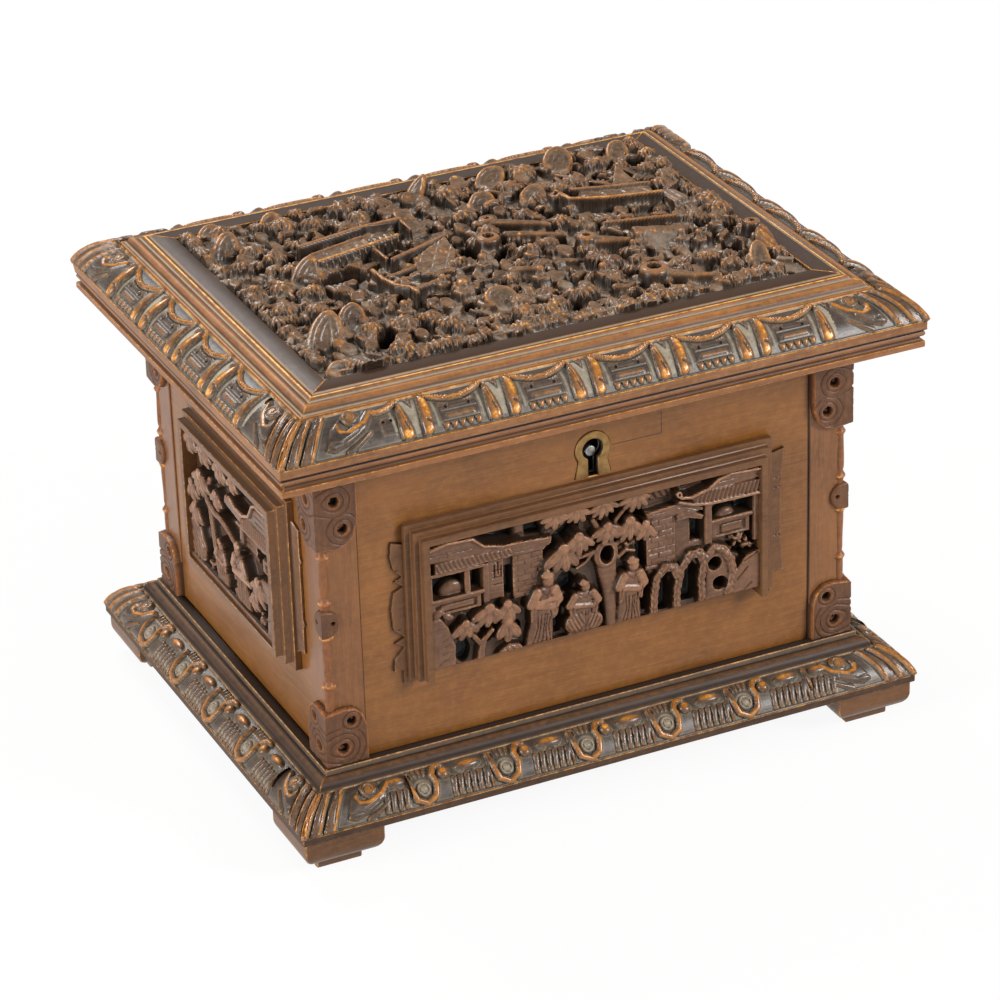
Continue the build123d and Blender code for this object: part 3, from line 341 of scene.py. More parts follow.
# The frames and brackets: a dark dust colour, for dust and painted shade in inner corners and on ledges, and
# painted shade on the brackets' sheer sides
frame_wood = timber("frame_wood", (77, 49, 27), (104, 68, 39), (130, 92, 59), polish=0.42, gloss=0.2, coat=0.25,
                    dust_and_shade=tone(62, 51, 41), rubbed=tone(160, 108, 70), wearing=0.35, wall_shade=tone(36, 26, 18))
post_wood = timber("post_wood", (94, 57, 29), (123, 78, 40), (146, 99, 58), upright=True,
                   polish=0.4, gloss=0.2, coat=0.45)
inner_wood = timber("inner_wood", (86, 58, 40), (116, 80, 54), (136, 98, 68), polish=0.55)
brass = metal("aged_brass", tone(176, 140, 90), tone(124, 96, 60), tone(62, 48, 32), 0.46)
steel = metal("lock_steel", tone(176, 174, 170), tone(118, 116, 114), tone(70, 62, 56), 0.36)
lining_velvet = velvet("lining_velvet", tone(66, 14, 18), tone(122, 32, 34))


# --- Meshes ---


# The two ends of a carved row, from which its back is closed
ENDS = [-1, 0]
WELD = 0.002


class Shell:
    """Closed sections lofted into one piece, with the marks of wear, dust and painted shade its finish reads."""

    MARKS = ("worn", "dust", "deep")

    def __init__(self):
        self.points, self.marks, self.faces, self.count = [], [], [], 0

    def put(self, points, marks, faces):
        self.points.append(np.asarray(points, float).reshape(-1, 3))
        marks = np.zeros((len(self.points[-1]), 3)) if marks is None else np.asarray(marks, float)
        self.marks.append(marks.reshape(-1, 3))
        self.faces.extend(faces)
        self.count += len(self.points[-1])

    def loft(self, sections, marks=None, start=True, end=True):
        """sections is an array of sections, points and xyz. Each section is a closed loop."""
        rows, ring, _ = sections.shape
        grid = np.arange(rows * ring).reshape(rows, ring) + self.count
        turned = np.roll(grid, -1, 1)
        quads = np.stack([grid[:-1], grid[1:], turned[1:], turned[:-1]], -1).reshape(-1, 4).tolist()
        if start:
            quads.append(grid[0].tolist())
        if end:
            quads.append(grid[-1][::-1].tolist())
        self.put(sections, marks, quads)

    def carve(self, front, behind, marks, start=True, end=True):
        """A carved front closed by a plain back, which is two points behind each row of it."""
        plain = np.zeros((len(front), 2, 3))
        self.loft(np.concatenate([front, behind], 1), np.concatenate([marks, plain], 1), start, end)

    def take(self, mesh):
        """The faces of a finished mesh, in metres, go into this one."""
        points = np.zeros(len(mesh.vertices) * 3)
        mesh.vertices.foreach_get("co", points)
        marks = np.zeros((len(mesh.vertices), 3))
        for i, name in enumerate(self.MARKS):
            column = np.zeros(len(mesh.vertices))
            mesh.attributes[name].data.foreach_get("value", column)
            marks[:, i] = column
        faces = [[v + self.count for v in face.vertices] for face in mesh.polygons]
        self.put(points.reshape(-1, 3) / MM, marks, faces)

    def mesh(self, name, finish, crease=42.0, out=None, turned=False):
        """The finished mesh, its faces turned outward where asked.

        out is the way its carving faces, to mark the carving's sheer sides, which its finish paints in shade.
        """
        mesh = bpy.data.meshes.new(name)
        mesh.from_pydata((np.concatenate(self.points) * MM).tolist(), [], self.faces)
        marks = np.concatenate(self.marks)
        for i, mark in enumerate(self.MARKS):
            layer = mesh.attributes.new(mark, "FLOAT", "POINT")
            layer.data.foreach_set("value", marks[:, i].astype(np.float32))
        work = bmesh.new()
        work.from_mesh(mesh)
        bmesh.ops.remove_doubles(work, verts=work.verts, dist=WELD * MM)
        if turned:
            bmesh.ops.recalc_face_normals(work, faces=work.faces)
        work.to_mesh(mesh)
        work.free()
        if out is not None:
            facing = np.zeros(len(mesh.polygons) * 3)
            mesh.polygons.foreach_get("normal", facing)
            steep = np.clip(1.5 - 2.4 * (facing.reshape(-1, 3) @ np.array(out, float)), 0, 1)
            mesh.attributes.new("wall", "FLOAT", "FACE").data.foreach_set("value", steep.astype(np.float32))
        mesh.materials.append(finish)
        mesh.shade_smooth()
        mesh.set_sharp_from_angle(angle=radians(crease))
        return mesh


def piece(name, mesh, body, slot, *replaced):
    """A finished mesh as a piece that rides on a body and stands for CAD nodes."""
    thing = bpy.data.objects.new(name, mesh)
    bpy.context.scene.collection.objects.link(thing)
    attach(thing, body)
    if replaced:
        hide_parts(*replaced)
    return thing


SHARP_EDGE, LEVEL_ENOUGH = 28, 0.6


def eased(work, name, finish, edge, dust_and_shade=0.0, ledges=0.0):
    """A mesh with its sharp edges eased and rubbed.

    dust_and_shade widens a bevel in its inner corners and ledges marks its upward faces, for dust and painted
    shade.
    """
    bmesh.ops.dissolve_limit(work, angle_limit=radians(1.0), verts=work.verts, edges=work.edges)
    rubbed, dusty = work.faces.layers.float.new("worn"), work.faces.layers.float.new("dust")
    for face in work.faces:
        face[dusty] = ledges if face.normal.z > LEVEL_ENOUGH else 0.0

    def bevelled(convex, width):
        corners = [e for e in work.edges if len(e.link_faces) == 2 and e.is_convex == convex
                   and e.calc_face_angle() > radians(SHARP_EDGE)]
        return bmesh.ops.bevel(work, geom=corners, offset=width * MM, offset_type="OFFSET", segments=1,
                               profile=0.5, affect="EDGES", clamp_overlap=False)["faces"]
    if dust_and_shade:
        for face in bevelled(False, dust_and_shade):
            face[dusty] = 1.0
    for face in bevelled(True, edge):
        face[rubbed], face[dusty] = 1.0, 0.0
    mesh = bpy.data.meshes.new(name)
    work.to_mesh(mesh)
    work.free()
    mesh.materials.clear()
    mesh.materials.append(finish)
    mesh.shade_smooth()
    mesh.set_sharp_from_angle(angle=radians(32))
    return mesh


def softened(name, finish, body, slot, *cad, edge=0.3, press=None, **easing):
    """CAD nodes copied into one eased piece. press is a rule that moves points back under a carving."""
    work = bmesh.new()
    for node in cad:
        work.from_mesh(nodes[node].data)
    bmesh.ops.remove_doubles(work, verts=work.verts, dist=WELD * MM)
    if press:
        for point in work.verts:
            point.co = press(point.co)
        bmesh.ops.remove_doubles(work, verts=work.verts, dist=0.03 * MM)
        bmesh.ops.dissolve_degenerate(work, dist=0.01 * MM, edges=work.edges)
    return piece(name, eased(work, name, finish, edge, **easing), body, slot, *cad)


# --- Carving: a height over each point of a fine grid, built up from simple carved forms ---


def smoothed(field, reach):
    """A field averaged over a square of reach cells either way."""
    reach = max(1, int(round(reach)))
    for axis in (0, 1):
        padded = np.concatenate([np.repeat(field.take([0], axis), reach + 1, axis), field,
                                 np.repeat(field.take([-1], axis), reach, axis)], axis)
        total = np.cumsum(padded, axis)
        span = 2 * reach + 1
        high = total.take(range(span, total.shape[axis]), axis)
        low = total.take(range(0, total.shape[axis] - span), axis)
        field = (high - low) / span
    return field


# An outline is its least and most place along and up, and a rule for how far inside it a place is.


def disc(a, b, ra, rb=None, turn=0.0):
    rb = rb or ra
    c, s = cos(radians(turn)), sin(radians(turn))
    reach = max(ra, rb)

    def inside(p, q):
        u, v = ((p - a) * c + (q - b) * s) / ra, ((q - b) * c - (p - a) * s) / rb
        return (1 - np.hypot(u, v)) * min(ra, rb)

    return a - reach, a + reach, b - reach, b + reach, inside


def plate(*corners):
    p = np.array(corners, float)
    q = np.roll(p, -1, 0)
    run = q - p

    def inside(a, b):
        spot = np.stack([a, b], -1)[:, None] - p
        t = np.clip((spot * run).sum(-1) / (run ** 2).sum(-1), 0, 1)
        gap = np.sqrt(((spot - t[..., None] * run) ** 2).sum(-1)).min(1)
        rise = np.where(run[:, 1] == 0, 1e-9, run[:, 1])
        cross = ((p[:, 1] > b[:, None]) != (q[:, 1] > b[:, None])) & (
            a[:, None] < run[:, 0] * (b[:, None] - p[:, 1]) / rise + p[:, 0])
        return np.where(cross.sum(1) % 2 == 1, gap, -gap)

    return p[:, 0].min(), p[:, 0].max(), p[:, 1].min(), p[:, 1].max(), inside


def rounded(corners):
    """An outline with its corners cut away twice over, so that it is smooth."""
    p = np.array(corners, float)
    for _ in range(2):
        q = np.roll(p, -1, 0)
        p = np.stack([0.75 * p + 0.25 * q, 0.25 * p + 0.75 * q], 1).reshape(-1, 2)
    return p


def box(a0, a1, b0, b1):
    return plate((a0, b0), (a1, b0), (a1, b1), (a0, b1))


def stem(points, first, last=None):
    """A round-ended stroke through points, its half width going from first to last."""
    p = np.array(points, float)
    widths = np.linspace(first, last or first, len(p))
    reach = max(first, last or first)

    def inside(a, b):
        best = np.full(a.shape, -1e9)
        for (p0, p1), (w0, w1) in zip(zip(p, p[1:]), zip(widths, widths[1:])):
            run = p1 - p0
            t = np.clip(((a - p0[0]) * run[0] + (b - p0[1]) * run[1]) / max(run @ run, 1e-9), 0, 1)
            gap = np.hypot(a - p0[0] - t * run[0], b - p0[1] - t * run[1])
            best = np.maximum(best, w0 + t * (w1 - w0) - gap)
        return best

    return (p[:, 0].min() - reach, p[:, 0].max() + reach, p[:, 1].min() - reach, p[:, 1].max() + reach,
            inside)


def groove(depth, inset, half):
    """A groove that follows a form's edge at an inset from it."""
    return lambda a, b, d: depth * np.clip(1 - np.abs(d - inset) / half, 0, 1)


# A floor so far down that nothing gets painted shade for its depth
NO_FLOOR = -9.0


class Relief:
    """A carved face: heights h over places a (along) and b (up), in millimetres."""

    def __init__(self, a, b, ground=0.0, seed=1, slope=12.0, low=0.0):
        self.slope, self.low = slope, low
        self.a, self.b = np.broadcast_arrays(np.asarray(a, float), np.asarray(b, float))
        self.h = np.full(self.a.shape, float(ground))
        self.painted = np.zeros((*self.h.shape, 3))
        self.rng = np.random.default_rng(seed)

    def near(self, outline):
        a0, a1, b0, b1, inside = outline
        spot = np.nonzero((self.a > a0) & (self.a < a1) & (self.b > b0) & (self.b < b1))
        a, b = self.a[spot], self.b[spot]
        return spot, a, b, inside(a, b) if len(a) else a

    def stand(self, outline, top, edge=0.8, drop=None, lean=(0.0, 0.0), cut=None, fall=None):
        """A form left standing to its top, its edge rounded over, with finer cuts in its face.

        Past its edge its side falls away at the relief's slope, or at a steeper one of its own.
        """
        fall = fall or self.slope
        a0, a1, b0, b1, inside = outline
        highest = top + (abs(lean[0]) * (a1 - a0) + abs(lean[1]) * (b1 - b0)) / 2
        spread = max(highest - self.low, 0.1) / fall
        spot, a, b, d = self.near((a0 - spread, a1 + spread, b0 - spread, b1 + spread, inside))
        if not len(a):
            return
        drop = edge if drop is None else drop
        t = np.clip(d / edge, 0, 1)
        h = top + lean[0] * (a - (a0 + a1) / 2) + lean[1] * (b - (b0 + b1) / 2)
        h = h - drop * (1 - np.sqrt(1 - (1 - t) ** 2)) + fall * np.minimum(d, 0)
        if cut is not None:
            h = h - cut(a, b, d) * (d > 0)
        self.h[spot] = np.maximum(self.h[spot], h)

    def ramp(self, corners, low, high, edge=0.6, drop=None, cut=None):
        """A sloping face that rises from one (along, up, height) to another."""
        low, high, spots = np.array(low, float), np.array(high, float), np.array(corners, float)
        run = (high - low)[:2]
        lean = (high[2] - low[2]) * run / (run @ run)
        middle = (spots.min(0) + spots.max(0)) / 2
        outline = plate(*(rounded(corners) if edge > 0.8 else corners))
        self.stand(outline, low[2] + lean @ (middle - low[:2]), edge, drop, lean, cut)

    def rosette(self, a, b, radius, lobes, top, rub=0.0):
        """A notched crown of leaves on a plain stalk."""
        turn = self.rng.uniform(0, 2 * pi)
        oval = self.rng.uniform(0.75, 1.15)

        def polar(p, q):
            return np.hypot(p - a, (q - b) / oval), np.arctan2((q - b) / oval, p - a) * lobes + turn

        def inside(p, q):
            far, way = polar(p, q)
            return radius * (0.95 + 0.05 * np.cos(way)) - far

        def notches(p, q, d):
            far, way = polar(p, q)
            cuts = 2.0 * (0.5 - 0.5 * np.cos(way)) ** 3 + 0.3 * np.abs(np.sin(way * 0.5 + 0.6))
            return cuts * np.clip(far / radius * 1.6 - 0.3, 0, 1)
        self.stand((a - radius, a + radius, b - radius * oval, b + radius * oval, inside), top, radius * 0.6,
                radius * 0.35, lean=(0.04, 0.14), cut=notches, fall=8.0)
        if rub:
            for k in range(lobes):
                if self.rng.uniform() < rub:
                    way = (2 * pi * k - turn) / lobes
                    tip = a + 0.75 * radius * cos(way), b + 0.75 * radius * oval * sin(way)
                    self.mark(0, disc(*tip, 0.8), 1.0, 0.4)

    def clump(self, a, b, radius, top, rub=0.0):
        """A few crowns of leaves crowded together."""
        for k in range(3):
            way = k * 2.6 + self.rng.uniform(0, 1)
            far = radius * 0.6 * (k > 0)
            self.rosette(a + far * cos(way), b + far * sin(way), radius * self.rng.uniform(0.66, 0.9),
                    int(self.rng.integers(5, 8)), top - 0.7 * k * self.rng.uniform(0.4, 1.2), rub)

    def mark(self, kind, outline, amount=1.0, edge=0.6):
        """Wear (0), dust (1) or painted shade (2) laid on inside an outline."""
        spot, a, b, d = self.near(outline)
        if len(a):
            layer = self.painted[..., kind]
            layer[spot] = np.maximum(layer[spot], amount * np.clip(d / edge, 0, 1))

    def sink(self, outline, floor, edge=0.4):
        """A hole cut down to a floor."""
        spot, a, b, d = self.near(outline)
        if not len(a):
            return
        deep = self.h[spot] + (floor - self.h[spot]) * np.clip(d / edge, 0, 1)
        self.h[spot] = np.where(d > 0, np.minimum(self.h[spot], deep), self.h[spot])

    def score(self, points, width=0.25, depth=0.5):
        """A V-cut along a line."""
        spot, a, b, d = self.near(stem(points, width))
        if len(a):
            self.h[spot] -= depth * np.clip(d / width, 0, 1)

    # Forms of the gardens

    def roof(self, corners, top, pitch, slope):
        """A tiled roof: round tile rows running down it."""
        def rows(a, b, d):
            c = (a - slope * b) / pitch
            return 0.75 * np.abs(np.sin(pi * c)) ** 1.5 * (d > 0.35)
        self.stand(plate(*corners), top, 0.7, cut=rows)

    def brick(self, corners, top, long, high):
        """A wall of bricks, their joints cut in."""
        def joints(a, b, d):
            course = np.floor(b / high)
            u = np.abs(((a / long + 0.5 * (course % 2)) % 1) - 0.5) * long
            v = np.abs((b / high % 1) - 0.5) * high
            return 0.5 * np.clip(1 - np.minimum(long / 2 - u, high / 2 - v) / 0.3, 0, 1)
        self.stand(plate(*corners), top, 0.4, cut=joints)

    def fan(self, a, b, radius, start, end, blades, top):
        """A fan of narrow leaf blades spread from one point."""
        first, span = radians(start), radians(end - start)

        def polar(p, q):
            way = (np.arctan2(q - b, p - a) - first) % (2 * pi)
            blade = way / span * blades
            off = np.abs(blade % 1 - 0.5) * 2
            return np.hypot(p - a, q - b), way, off

        def inside(p, q):
            far, way, off = polar(p, q)
            reach = radius * (1 - 0.3 * off ** 2.2)
            return np.where(way < span, np.minimum(reach - far, 3.0), -far - 1.0)

        def ribs(p, q, d):
            far, _, off = polar(p, q)
            return 0.85 * off ** 2.5 * np.clip(far / radius * 1.6, 0, 1) + 0.8 * far / radius
        self.stand((a - radius, a + radius, b - radius, b + radius, inside), top, 0.8, cut=ribs)

    def spray(self, a, b, radius, start, end, blades, top):
        """A hanging cluster of broad rounded leaves spread from one point."""
        span = radians(end - start)
        for k in range(blades):
            way = radians(start) + span * (k + 0.5) / blades
            half = radius * span / blades * 0.44
            long = radius * self.rng.uniform(0.92, 1.08)

            def vein(p, q, d, way=way):
                off = (q - b) * cos(way) - (p - a) * sin(way)
                return 0.35 * np.clip(1 - np.abs(off) / 0.22, 0, 1)
            self.stand(disc(a + 0.53 * long * cos(way), b + 0.53 * long * sin(way), 0.5 * long, half,
                            np.degrees(way)), top - 0.25 * (k % 2), half, 1.3, cut=vein)
        self.stand(disc(a, b, radius * 0.24), top + 0.1, radius * 0.2, 0.8)

    def sprays(self, top, *clusters):
        """Several sprays of one height."""
        for cluster in clusters:
            self.spray(*cluster, top)

    def tuft(self, a, b, radius, count, top, size=0.95, rub=0.0):
        """A clump of small pointed leaves, some with their tips rubbed."""
        for _ in range(count):
            way, far = self.rng.uniform(0, 2 * pi), radius * self.rng.uniform(0, 1) ** 0.6
            r = size * self.rng.uniform(0.75, 1.25)
            p, q = a + far * cos(way), b + far * sin(way)
            leaf = disc(p, q, r * 1.5, r * 0.8, np.degrees(way) + self.rng.uniform(-30, 30))
            self.stand(leaf, top - 1.4 * (far / radius) ** 2 - self.rng.uniform(0, 0.9), r * 0.75, r * 0.8,
                       fall=max(self.slope, 9.0))
            if self.rng.uniform() < rub:
                self.mark(0, disc(p, q, r * 1.1, r * 0.8), 1.0, 0.4)

    def layers(self, ring, depth):
        """Fine steps that follow a shell's outline."""
        return lambda a, b, d: depth * np.clip(np.cos(2 * pi * d / ring) * 3 - 2, 0, 1) * (d > 0.6)

    def roll(self, points, first, last, top):
        """A scroll or roll with a groove along it."""
        self.stand(stem(points, first, last), top, max(first * 0.9, 0.5), first * 0.8,
                   cut=groove(0.4, 0.45 * first, 0.28))

    def curl(self, a, b, radius, hole, top):
        """A scroll seen on its end: a ring round a drilled hollow."""
        self.stand(disc(a, b, radius), top, radius * 0.5, radius * 0.35, cut=groove(0.4, 0.35 * radius, 0.3))
        self.sink(disc(a, b, hole), top - 4.5, 0.35)

    def person(self, a, b, tall, top, lean=0.0, facing=1, wide=1.0):
        """A small robed figure with a plain round head and a cap."""
        t, w = tall, tall * wide

        def up(da, db):
            return a + da * w + lean * db * t, b + db * t
        self.stand(plate(up(-.2, 0), up(.2, 0), up(.19, .2), up(.14, .48), up(.17, .7), up(.08, .8), up(-.08, .8),
                         up(-.17, .68), up(-.15, .46), up(-.2, .18)), top - 0.4, 2.6, 2.2)
        for foot, fold in ((-.13, -.07), (-.06, -.03), (.02, .02), (.09, .05), (.15, .09)):
            self.score([up(foot, .01), up(fold, .22), up(fold * 1.2, .42)], 0.32, 0.75)
        for side in (-1, 1):
            hand = up(facing * 0.13, 0.5)
            sleeve = stem([up(side * 0.13, 0.73), up(side * 0.21, 0.58), hand], 0.075 * t, 0.06 * t)
            self.stand(sleeve, top + 0.3, 1.4, 1.3)
            self.stand(plate(up(side * .22, .6), up(side * .1, .56), up(side * .12, .36), up(side * .19, .32)),
                       top - 0.1, 1.0, 1.0)
            self.score([up(side * .17, .56), up(side * .15, .38)], 0.28, 0.6)
        self.score([up(-.08, .76), up(facing * .02, .66), up(.08, .76)], 0.28, 0.5)
        self.stand(disc(*up(0.03 * facing, 0.87), 0.085 * t, 0.098 * t), top + 0.3, 0.085 * t, 1.8)
        self.stand(disc(*up(0.0, 0.95), 0.095 * t, 0.055 * t, -8 * facing), top + 0.5, 0.05 * t, 0.9)
        self.stand(disc(*up(-0.02 * facing, 0.99), 0.05 * t), top + 0.4, 0.04 * t, 0.8)

    def finish(self, cell, floor, reach=2.2, grain=0.05, soft=0.3, rub=None, settle=None, crevice=0.2, lines=0.0,
            wear=1.0):
        """Tool marks, then where it is worn, dusty and in painted shade: an array of the three marks.

        rub is the height from which its tops are rubbed and the height where that is full.
        settle is the lowest and highest ground on which dust lies where it is level.
        """
        rough = self.rng.normal(0, 1, self.h.shape)
        self.h = self.h + grain * smoothed(smoothed(rough, 1), 1) * 3
        self.h = (1 - soft) * self.h + soft * smoothed(self.h, 1)
        fine = self.h - smoothed(smoothed(self.h, 0.4 / cell), 0.4 / cell)
        wide = self.h - smoothed(smoothed(self.h, 2.0 / cell), 2.0 / cell)
        worn = wear * np.clip(fine * 2.2 - 0.12, 0, 1) * np.clip(wide * 0.5 + 0.4, 0, 1)
        if rub:
            worn = np.maximum(worn, np.clip((self.h - rub[0]) / (rub[1] - rub[0]), 0, 1))
        dust = np.clip(-fine * 2.2 - wide * 0.22, 0, 1) * np.clip((self.h - floor) / reach - 0.3, 0, 1)
        if settle:
            steep = np.hypot(*np.gradient(smoothed(self.h, 1), cell))
            lies = np.clip((self.h - settle[0]) / 0.8, 0, 1) * np.clip((settle[1] - self.h) / 0.8, 0, 1)
            dust = np.maximum(dust, 0.8 * lies * np.clip(1.4 - steep, 0, 1))
        # Painted shade: darker at the foot of its forms, round their outlines and down towards its floor
        foot = np.maximum(-crevice * wide - 0.08, -lines * fine - 0.12)
        deep = np.maximum(np.clip(1 - (self.h - floor) / reach, 0, 1), np.clip(foot, 0, 0.58))
        return np.maximum(np.stack([worn, dust, deep], -1), self.painted)


def grid(width, height, cell):
    """Places along and up over a panel, along from its middle and up from its foot."""
    along = np.linspace(-width / 2, width / 2, int(round(width / cell)) + 1)[:, None]
    return along, np.linspace(0, height, int(round(height / cell)) + 1)[None, :]


class Ovolo:
    """The swelling moulding under a border, from its lower outer edge to its upper inner edge."""

    def __init__(self, foot, head, swell):
        foot, head = np.array(foot), np.array(head)
        chord = np.hypot(*(head - foot))
        rise = swell * chord
        self.radius = (chord ** 2 / 4 + rise ** 2) / (2 * rise)
        self.way = (head - foot) / chord
        self.out = np.array([self.way[1], -self.way[0]])
        self.middle = (foot + head) / 2 - self.out * (self.radius - rise)
        self.half = np.arcsin(chord / 2 / self.radius)
        self.girth = 2 * self.half * self.radius

    def under(self, side):
        """A rule that moves what stands on this face back under its carved border."""
        _, (nx, ny), face, _ = SIDES[side]

        def press(point):
            out, up = (point.x * nx + point.y * ny) / MM - face, point.z / MM
            spot = np.array([out, up]) - self.middle
            far, turn = np.hypot(*spot), np.arctan2(spot @ self.way, spot @ self.out)
            if far < self.radius - 0.02 or abs(turn) > self.half - 0.004:
                return point
            spot = spot * (self.radius - 0.05) / far + self.middle - (out, up)
            return point + Vector((spot[0] * nx, spot[0] * ny, spot[1])) * MM
        return press

    def at(self, t, h):
        """How far out and how high a point t up the face and h above it is."""
        turn = t / self.radius - self.half
        r = self.radius + h
        return (self.middle[0] + r * (np.sin(turn) * self.way[0] + np.cos(turn) * self.out[0]),
                self.middle[1] + r * (np.sin(turn) * self.way[1] + np.cos(turn) * self.out[1]))


lid_ovolo = Ovolo((20.9, 162.9), (8.4, 172.1), 0.13)
plinth_ovolo = Ovolo((19.4, 18.0), (9.0, 26.8), 0.13)


# --- Case, lid and hardware: the CAD shapes with eased, worn edges ---


# The front's stepped frame: (how far from its opening, how far out), its foot, and its opening
FRAME_STEPS = [(0, -.6), (0, 7.8), (2.6, 7.8), (2.6, 5.0), (4.9, 5.0), (4.9, 2.2), (7.2, 2.2), (7.2, -.6)]
FRAME_FOOT, OPENING_TOP, FRONT_OPENING = 59.6, 113.5, 131.0
# Inner corners and upward ledges of the frames, darkened as dust and painted shade
FRAME_EASING = {"dust_and_shade": 0.35, "ledges": 0.7}


def front_frame():
    """Three moulded sides of the front's frame, its foot left open to the board below."""
    far, out = np.array(FRAME_STEPS).T
    ends = [(-1, FRAME_FOOT + 0 * far), (-1, OPENING_TOP + far), (1, OPENING_TOP + far), (1, FRAME_FOOT + 0 * far)]
    shell = Shell()
    shell.loft(np.array([on_side("front", hand * (FRONT_OPENING / 2 + far), out, up) for hand, up in ends]))
    work = bmesh.new()
    work.from_mesh(shell.mesh("stepped_frame_front", frame_wood, turned=True))
    mesh = eased(work, "stepped_frame_front", frame_wood, 0.28, **FRAME_EASING)
    return piece("stepped_frame_front", mesh, "case", "moulding_wood", "front_frame")


front_frame()
for side in SIDES:
    softened(f"wall_{side}", board_wood, "case", "board_wood", f"{side}_board")
    if side != "front":
        softened(f"stepped_frame_{side}", frame_wood, "case", "moulding_wood", f"{side}_frame", edge=0.28,
                 **FRAME_EASING)
    softened(f"rim_moulding_{side}", rim_wood, "case", "moulding_wood", f"rim_{side}", edge=0.25)
    softened(f"plinth_moulding_{side}", plinth_wood, "case", "moulding_wood", f"plinth_{side}", edge=0.3)
    softened(f"lid_edge_{side}", lid_wood, "lid", "moulding_wood", f"lid_moulding_{side}", edge=0.25,
             press=lid_ovolo.under(side))
CORNERS = {"front_left": (-1, -1), "front_right": (1, -1), "back_left": (-1, 1), "back_right": (1, 1)}
for corner in CORNERS:
    softened(f"block_foot_{corner}", frame_wood, "case", "moulding_wood", f"foot_{corner}", edge=0.5)
softened("bottom_board", inner_wood, "case", "inner_wood", "base_board")
softened("lid_ground_board", inner_wood, "lid", "inner_wood", "lid_board")
for hand in ("left", "right"):
    for body in ("case", "lid"):
        softened(f"hinge_{body}_half_{hand}", brass, body, "aged_brass", f"hinge_{hand}_{body}_leaf", edge=0.12)
METALS = {"aged_brass": brass, "lock_steel": steel}
for name, slot, body, edge, *cad in (
        ("hinge_pins", "aged_brass", "case", 0.1, "hinge_left_pin", "hinge_right_pin"),
        ("case_hinge_screws", "aged_brass", "case", 0.08, "hinge_case_screws"),
        ("lid_hinge_screws", "aged_brass", "lid", 0.08, "hinge_lid_screws"),
        ("keyhole_plate", "aged_brass", "case", 0.3, "escutcheon"),
        ("box_lock", "lock_steel", "case", 0.15, "lock_plate", "lock_cap"),
        ("lock_fixings", "lock_steel", "case", 0.08, "lock_screws"),
        ("key_pin", "lock_steel", "case", 0.25, "drill_pin"),
        ("bolt", "lock_steel", "lock_bolt", 0.12, "lock_bolt"),
        ("spring", "lock_steel", "lock_bolt", 0.05, "bolt_spring"),
        ("staple_plate", "aged_brass", "lid", 0.12, "link_plate"),
        ("staple_screws", "aged_brass", "lid", 0.08, "link_screws")):
    softened(name, METALS[slot], body, slot, *cad, edge=edge)


# --- Carved borders on the swelling mouldings of the lid and the plinth ---

# How far apart their units are
LID_PITCH, PLINTH_PITCH = 32.4, 32.3

def petals(r, s, g):
    """Two petals with bulbous feet and a dusty wedge between them, that part the lid's cartouches."""
    def points(*pairs):
        return [(s + a, b * g) for a, b in pairs]
    r.stand(plate(*points((-4.4, .99), (-5.8, .62), (-6.8, .3), (-6.6, .08), (-4.2, .01), (-1.7, .06), (-1.7, .26),
            (-2.6, .62), (-3.6, .9))), 2, 1.7, 1.5)
    r.stand(plate(*points((3.2, .99), (5.6, .92), (6.7, .66), (6.1, .4), (5.7, .12), (3.4, .01), (1.3, .06),
            (1.3, .3), (2.1, .66))), 2.1, 1.8, 1.6)
    r.stand(plate(*points((-1.2, .99), (1.2, .99), (.2, .78))), 1.2, .6)
    r.score(points((-4.6, .8), (-4.2, .4), (-3.4, .22)), .4, .6)
    r.score(points((3.6, .34), (6.2, .26)), .5, 1)
    r.mark(1, plate(*points((-3.2, .97), (-1.2, .97), (.2, .72), (1.4, .97), (2.8, .97), (1.1, .1), (-1.4, .1))), 1,
            .5)
    for a in (-7.9, 7.7):
        r.mark(1, plate(*points((a - .9, .8), (a + .9, .8), (a + .7, .15), (a - .7, .15))), .75, .6)
    r.mark(0, disc(s - 4.2, .16 * g, 2.2, 1.9), 1, .8)
    r.mark(0, plate(*points((-4.6, .85), (-5.4, .4), (-3.2, .4), (-3.6, .8))), .75, .5)
    r.mark(0, disc(s + 3.6, .15 * g, 2, 1.7), 1, .8)
    r.mark(0, plate(*points((3.8, .95), (5.8, .8), (5.6, .42), (3.4, .42), (3.2, .8))), .95, .7)


def eave(r, swag):
    """A double swag like an upturned eave, its ridges rubbed."""
    r.stand(stem(swag, .85), 1.6, .4, .3, cut=groove(.7, .42, .22))
    r.mark(0, stem(swag, .75), .8, .4)


def drilled(r, a, b):
    """A small drill hole, its inside painted black as shade."""
    r.sink(disc(a, b, .75), -.1, .3)
    r.mark(2, disc(a, b, .8), 1, .3)


def lid_unit(r, g):
    """One cartouche between petals: a swag over a small drilled panel and a row of pellets."""
    s = np.linspace(-11.2, 11.2, 15)
    swag = np.stack([s, g * (.73 + .24 * (s / 11.2) ** 2)], 1)
    eave(r, swag)
    r.stand(stem(swag[3:-3] - (0, 2), .35), .8, .3)
    r.stand(box(-7, 7, .24 * g, .6 * g), .7, .3)
    for level in (.46, .53):
        r.score([(-6.6, level * g), (6.6, level * g)], .25, .3)
    r.stand(box(-5.2, 5.2, .29 * g, .39 * g), 1.05, .4)
    r.mark(0, box(-5, 5, .3 * g, .38 * g), .35, .3)
    for a in (-4.3, 4.3):
        drilled(r, a, .55 * g)
    for k in range(-2, 3):
        p = 3 * k
        pellet = plate((p - 1.3, .21 * g), (p + 1.3, .21 * g), (p + .7, .07 * g), (p - .7, .07 * g))
        r.stand(pellet, 1.15, .7)
        r.mark(0, pellet, .55, .6)
    r.mark(1, box(-8, 8, .2 * g, .26 * g), .6, .3)
    for hand in (-1, 1):
        petals(r, hand * LID_PITCH / 2, g)


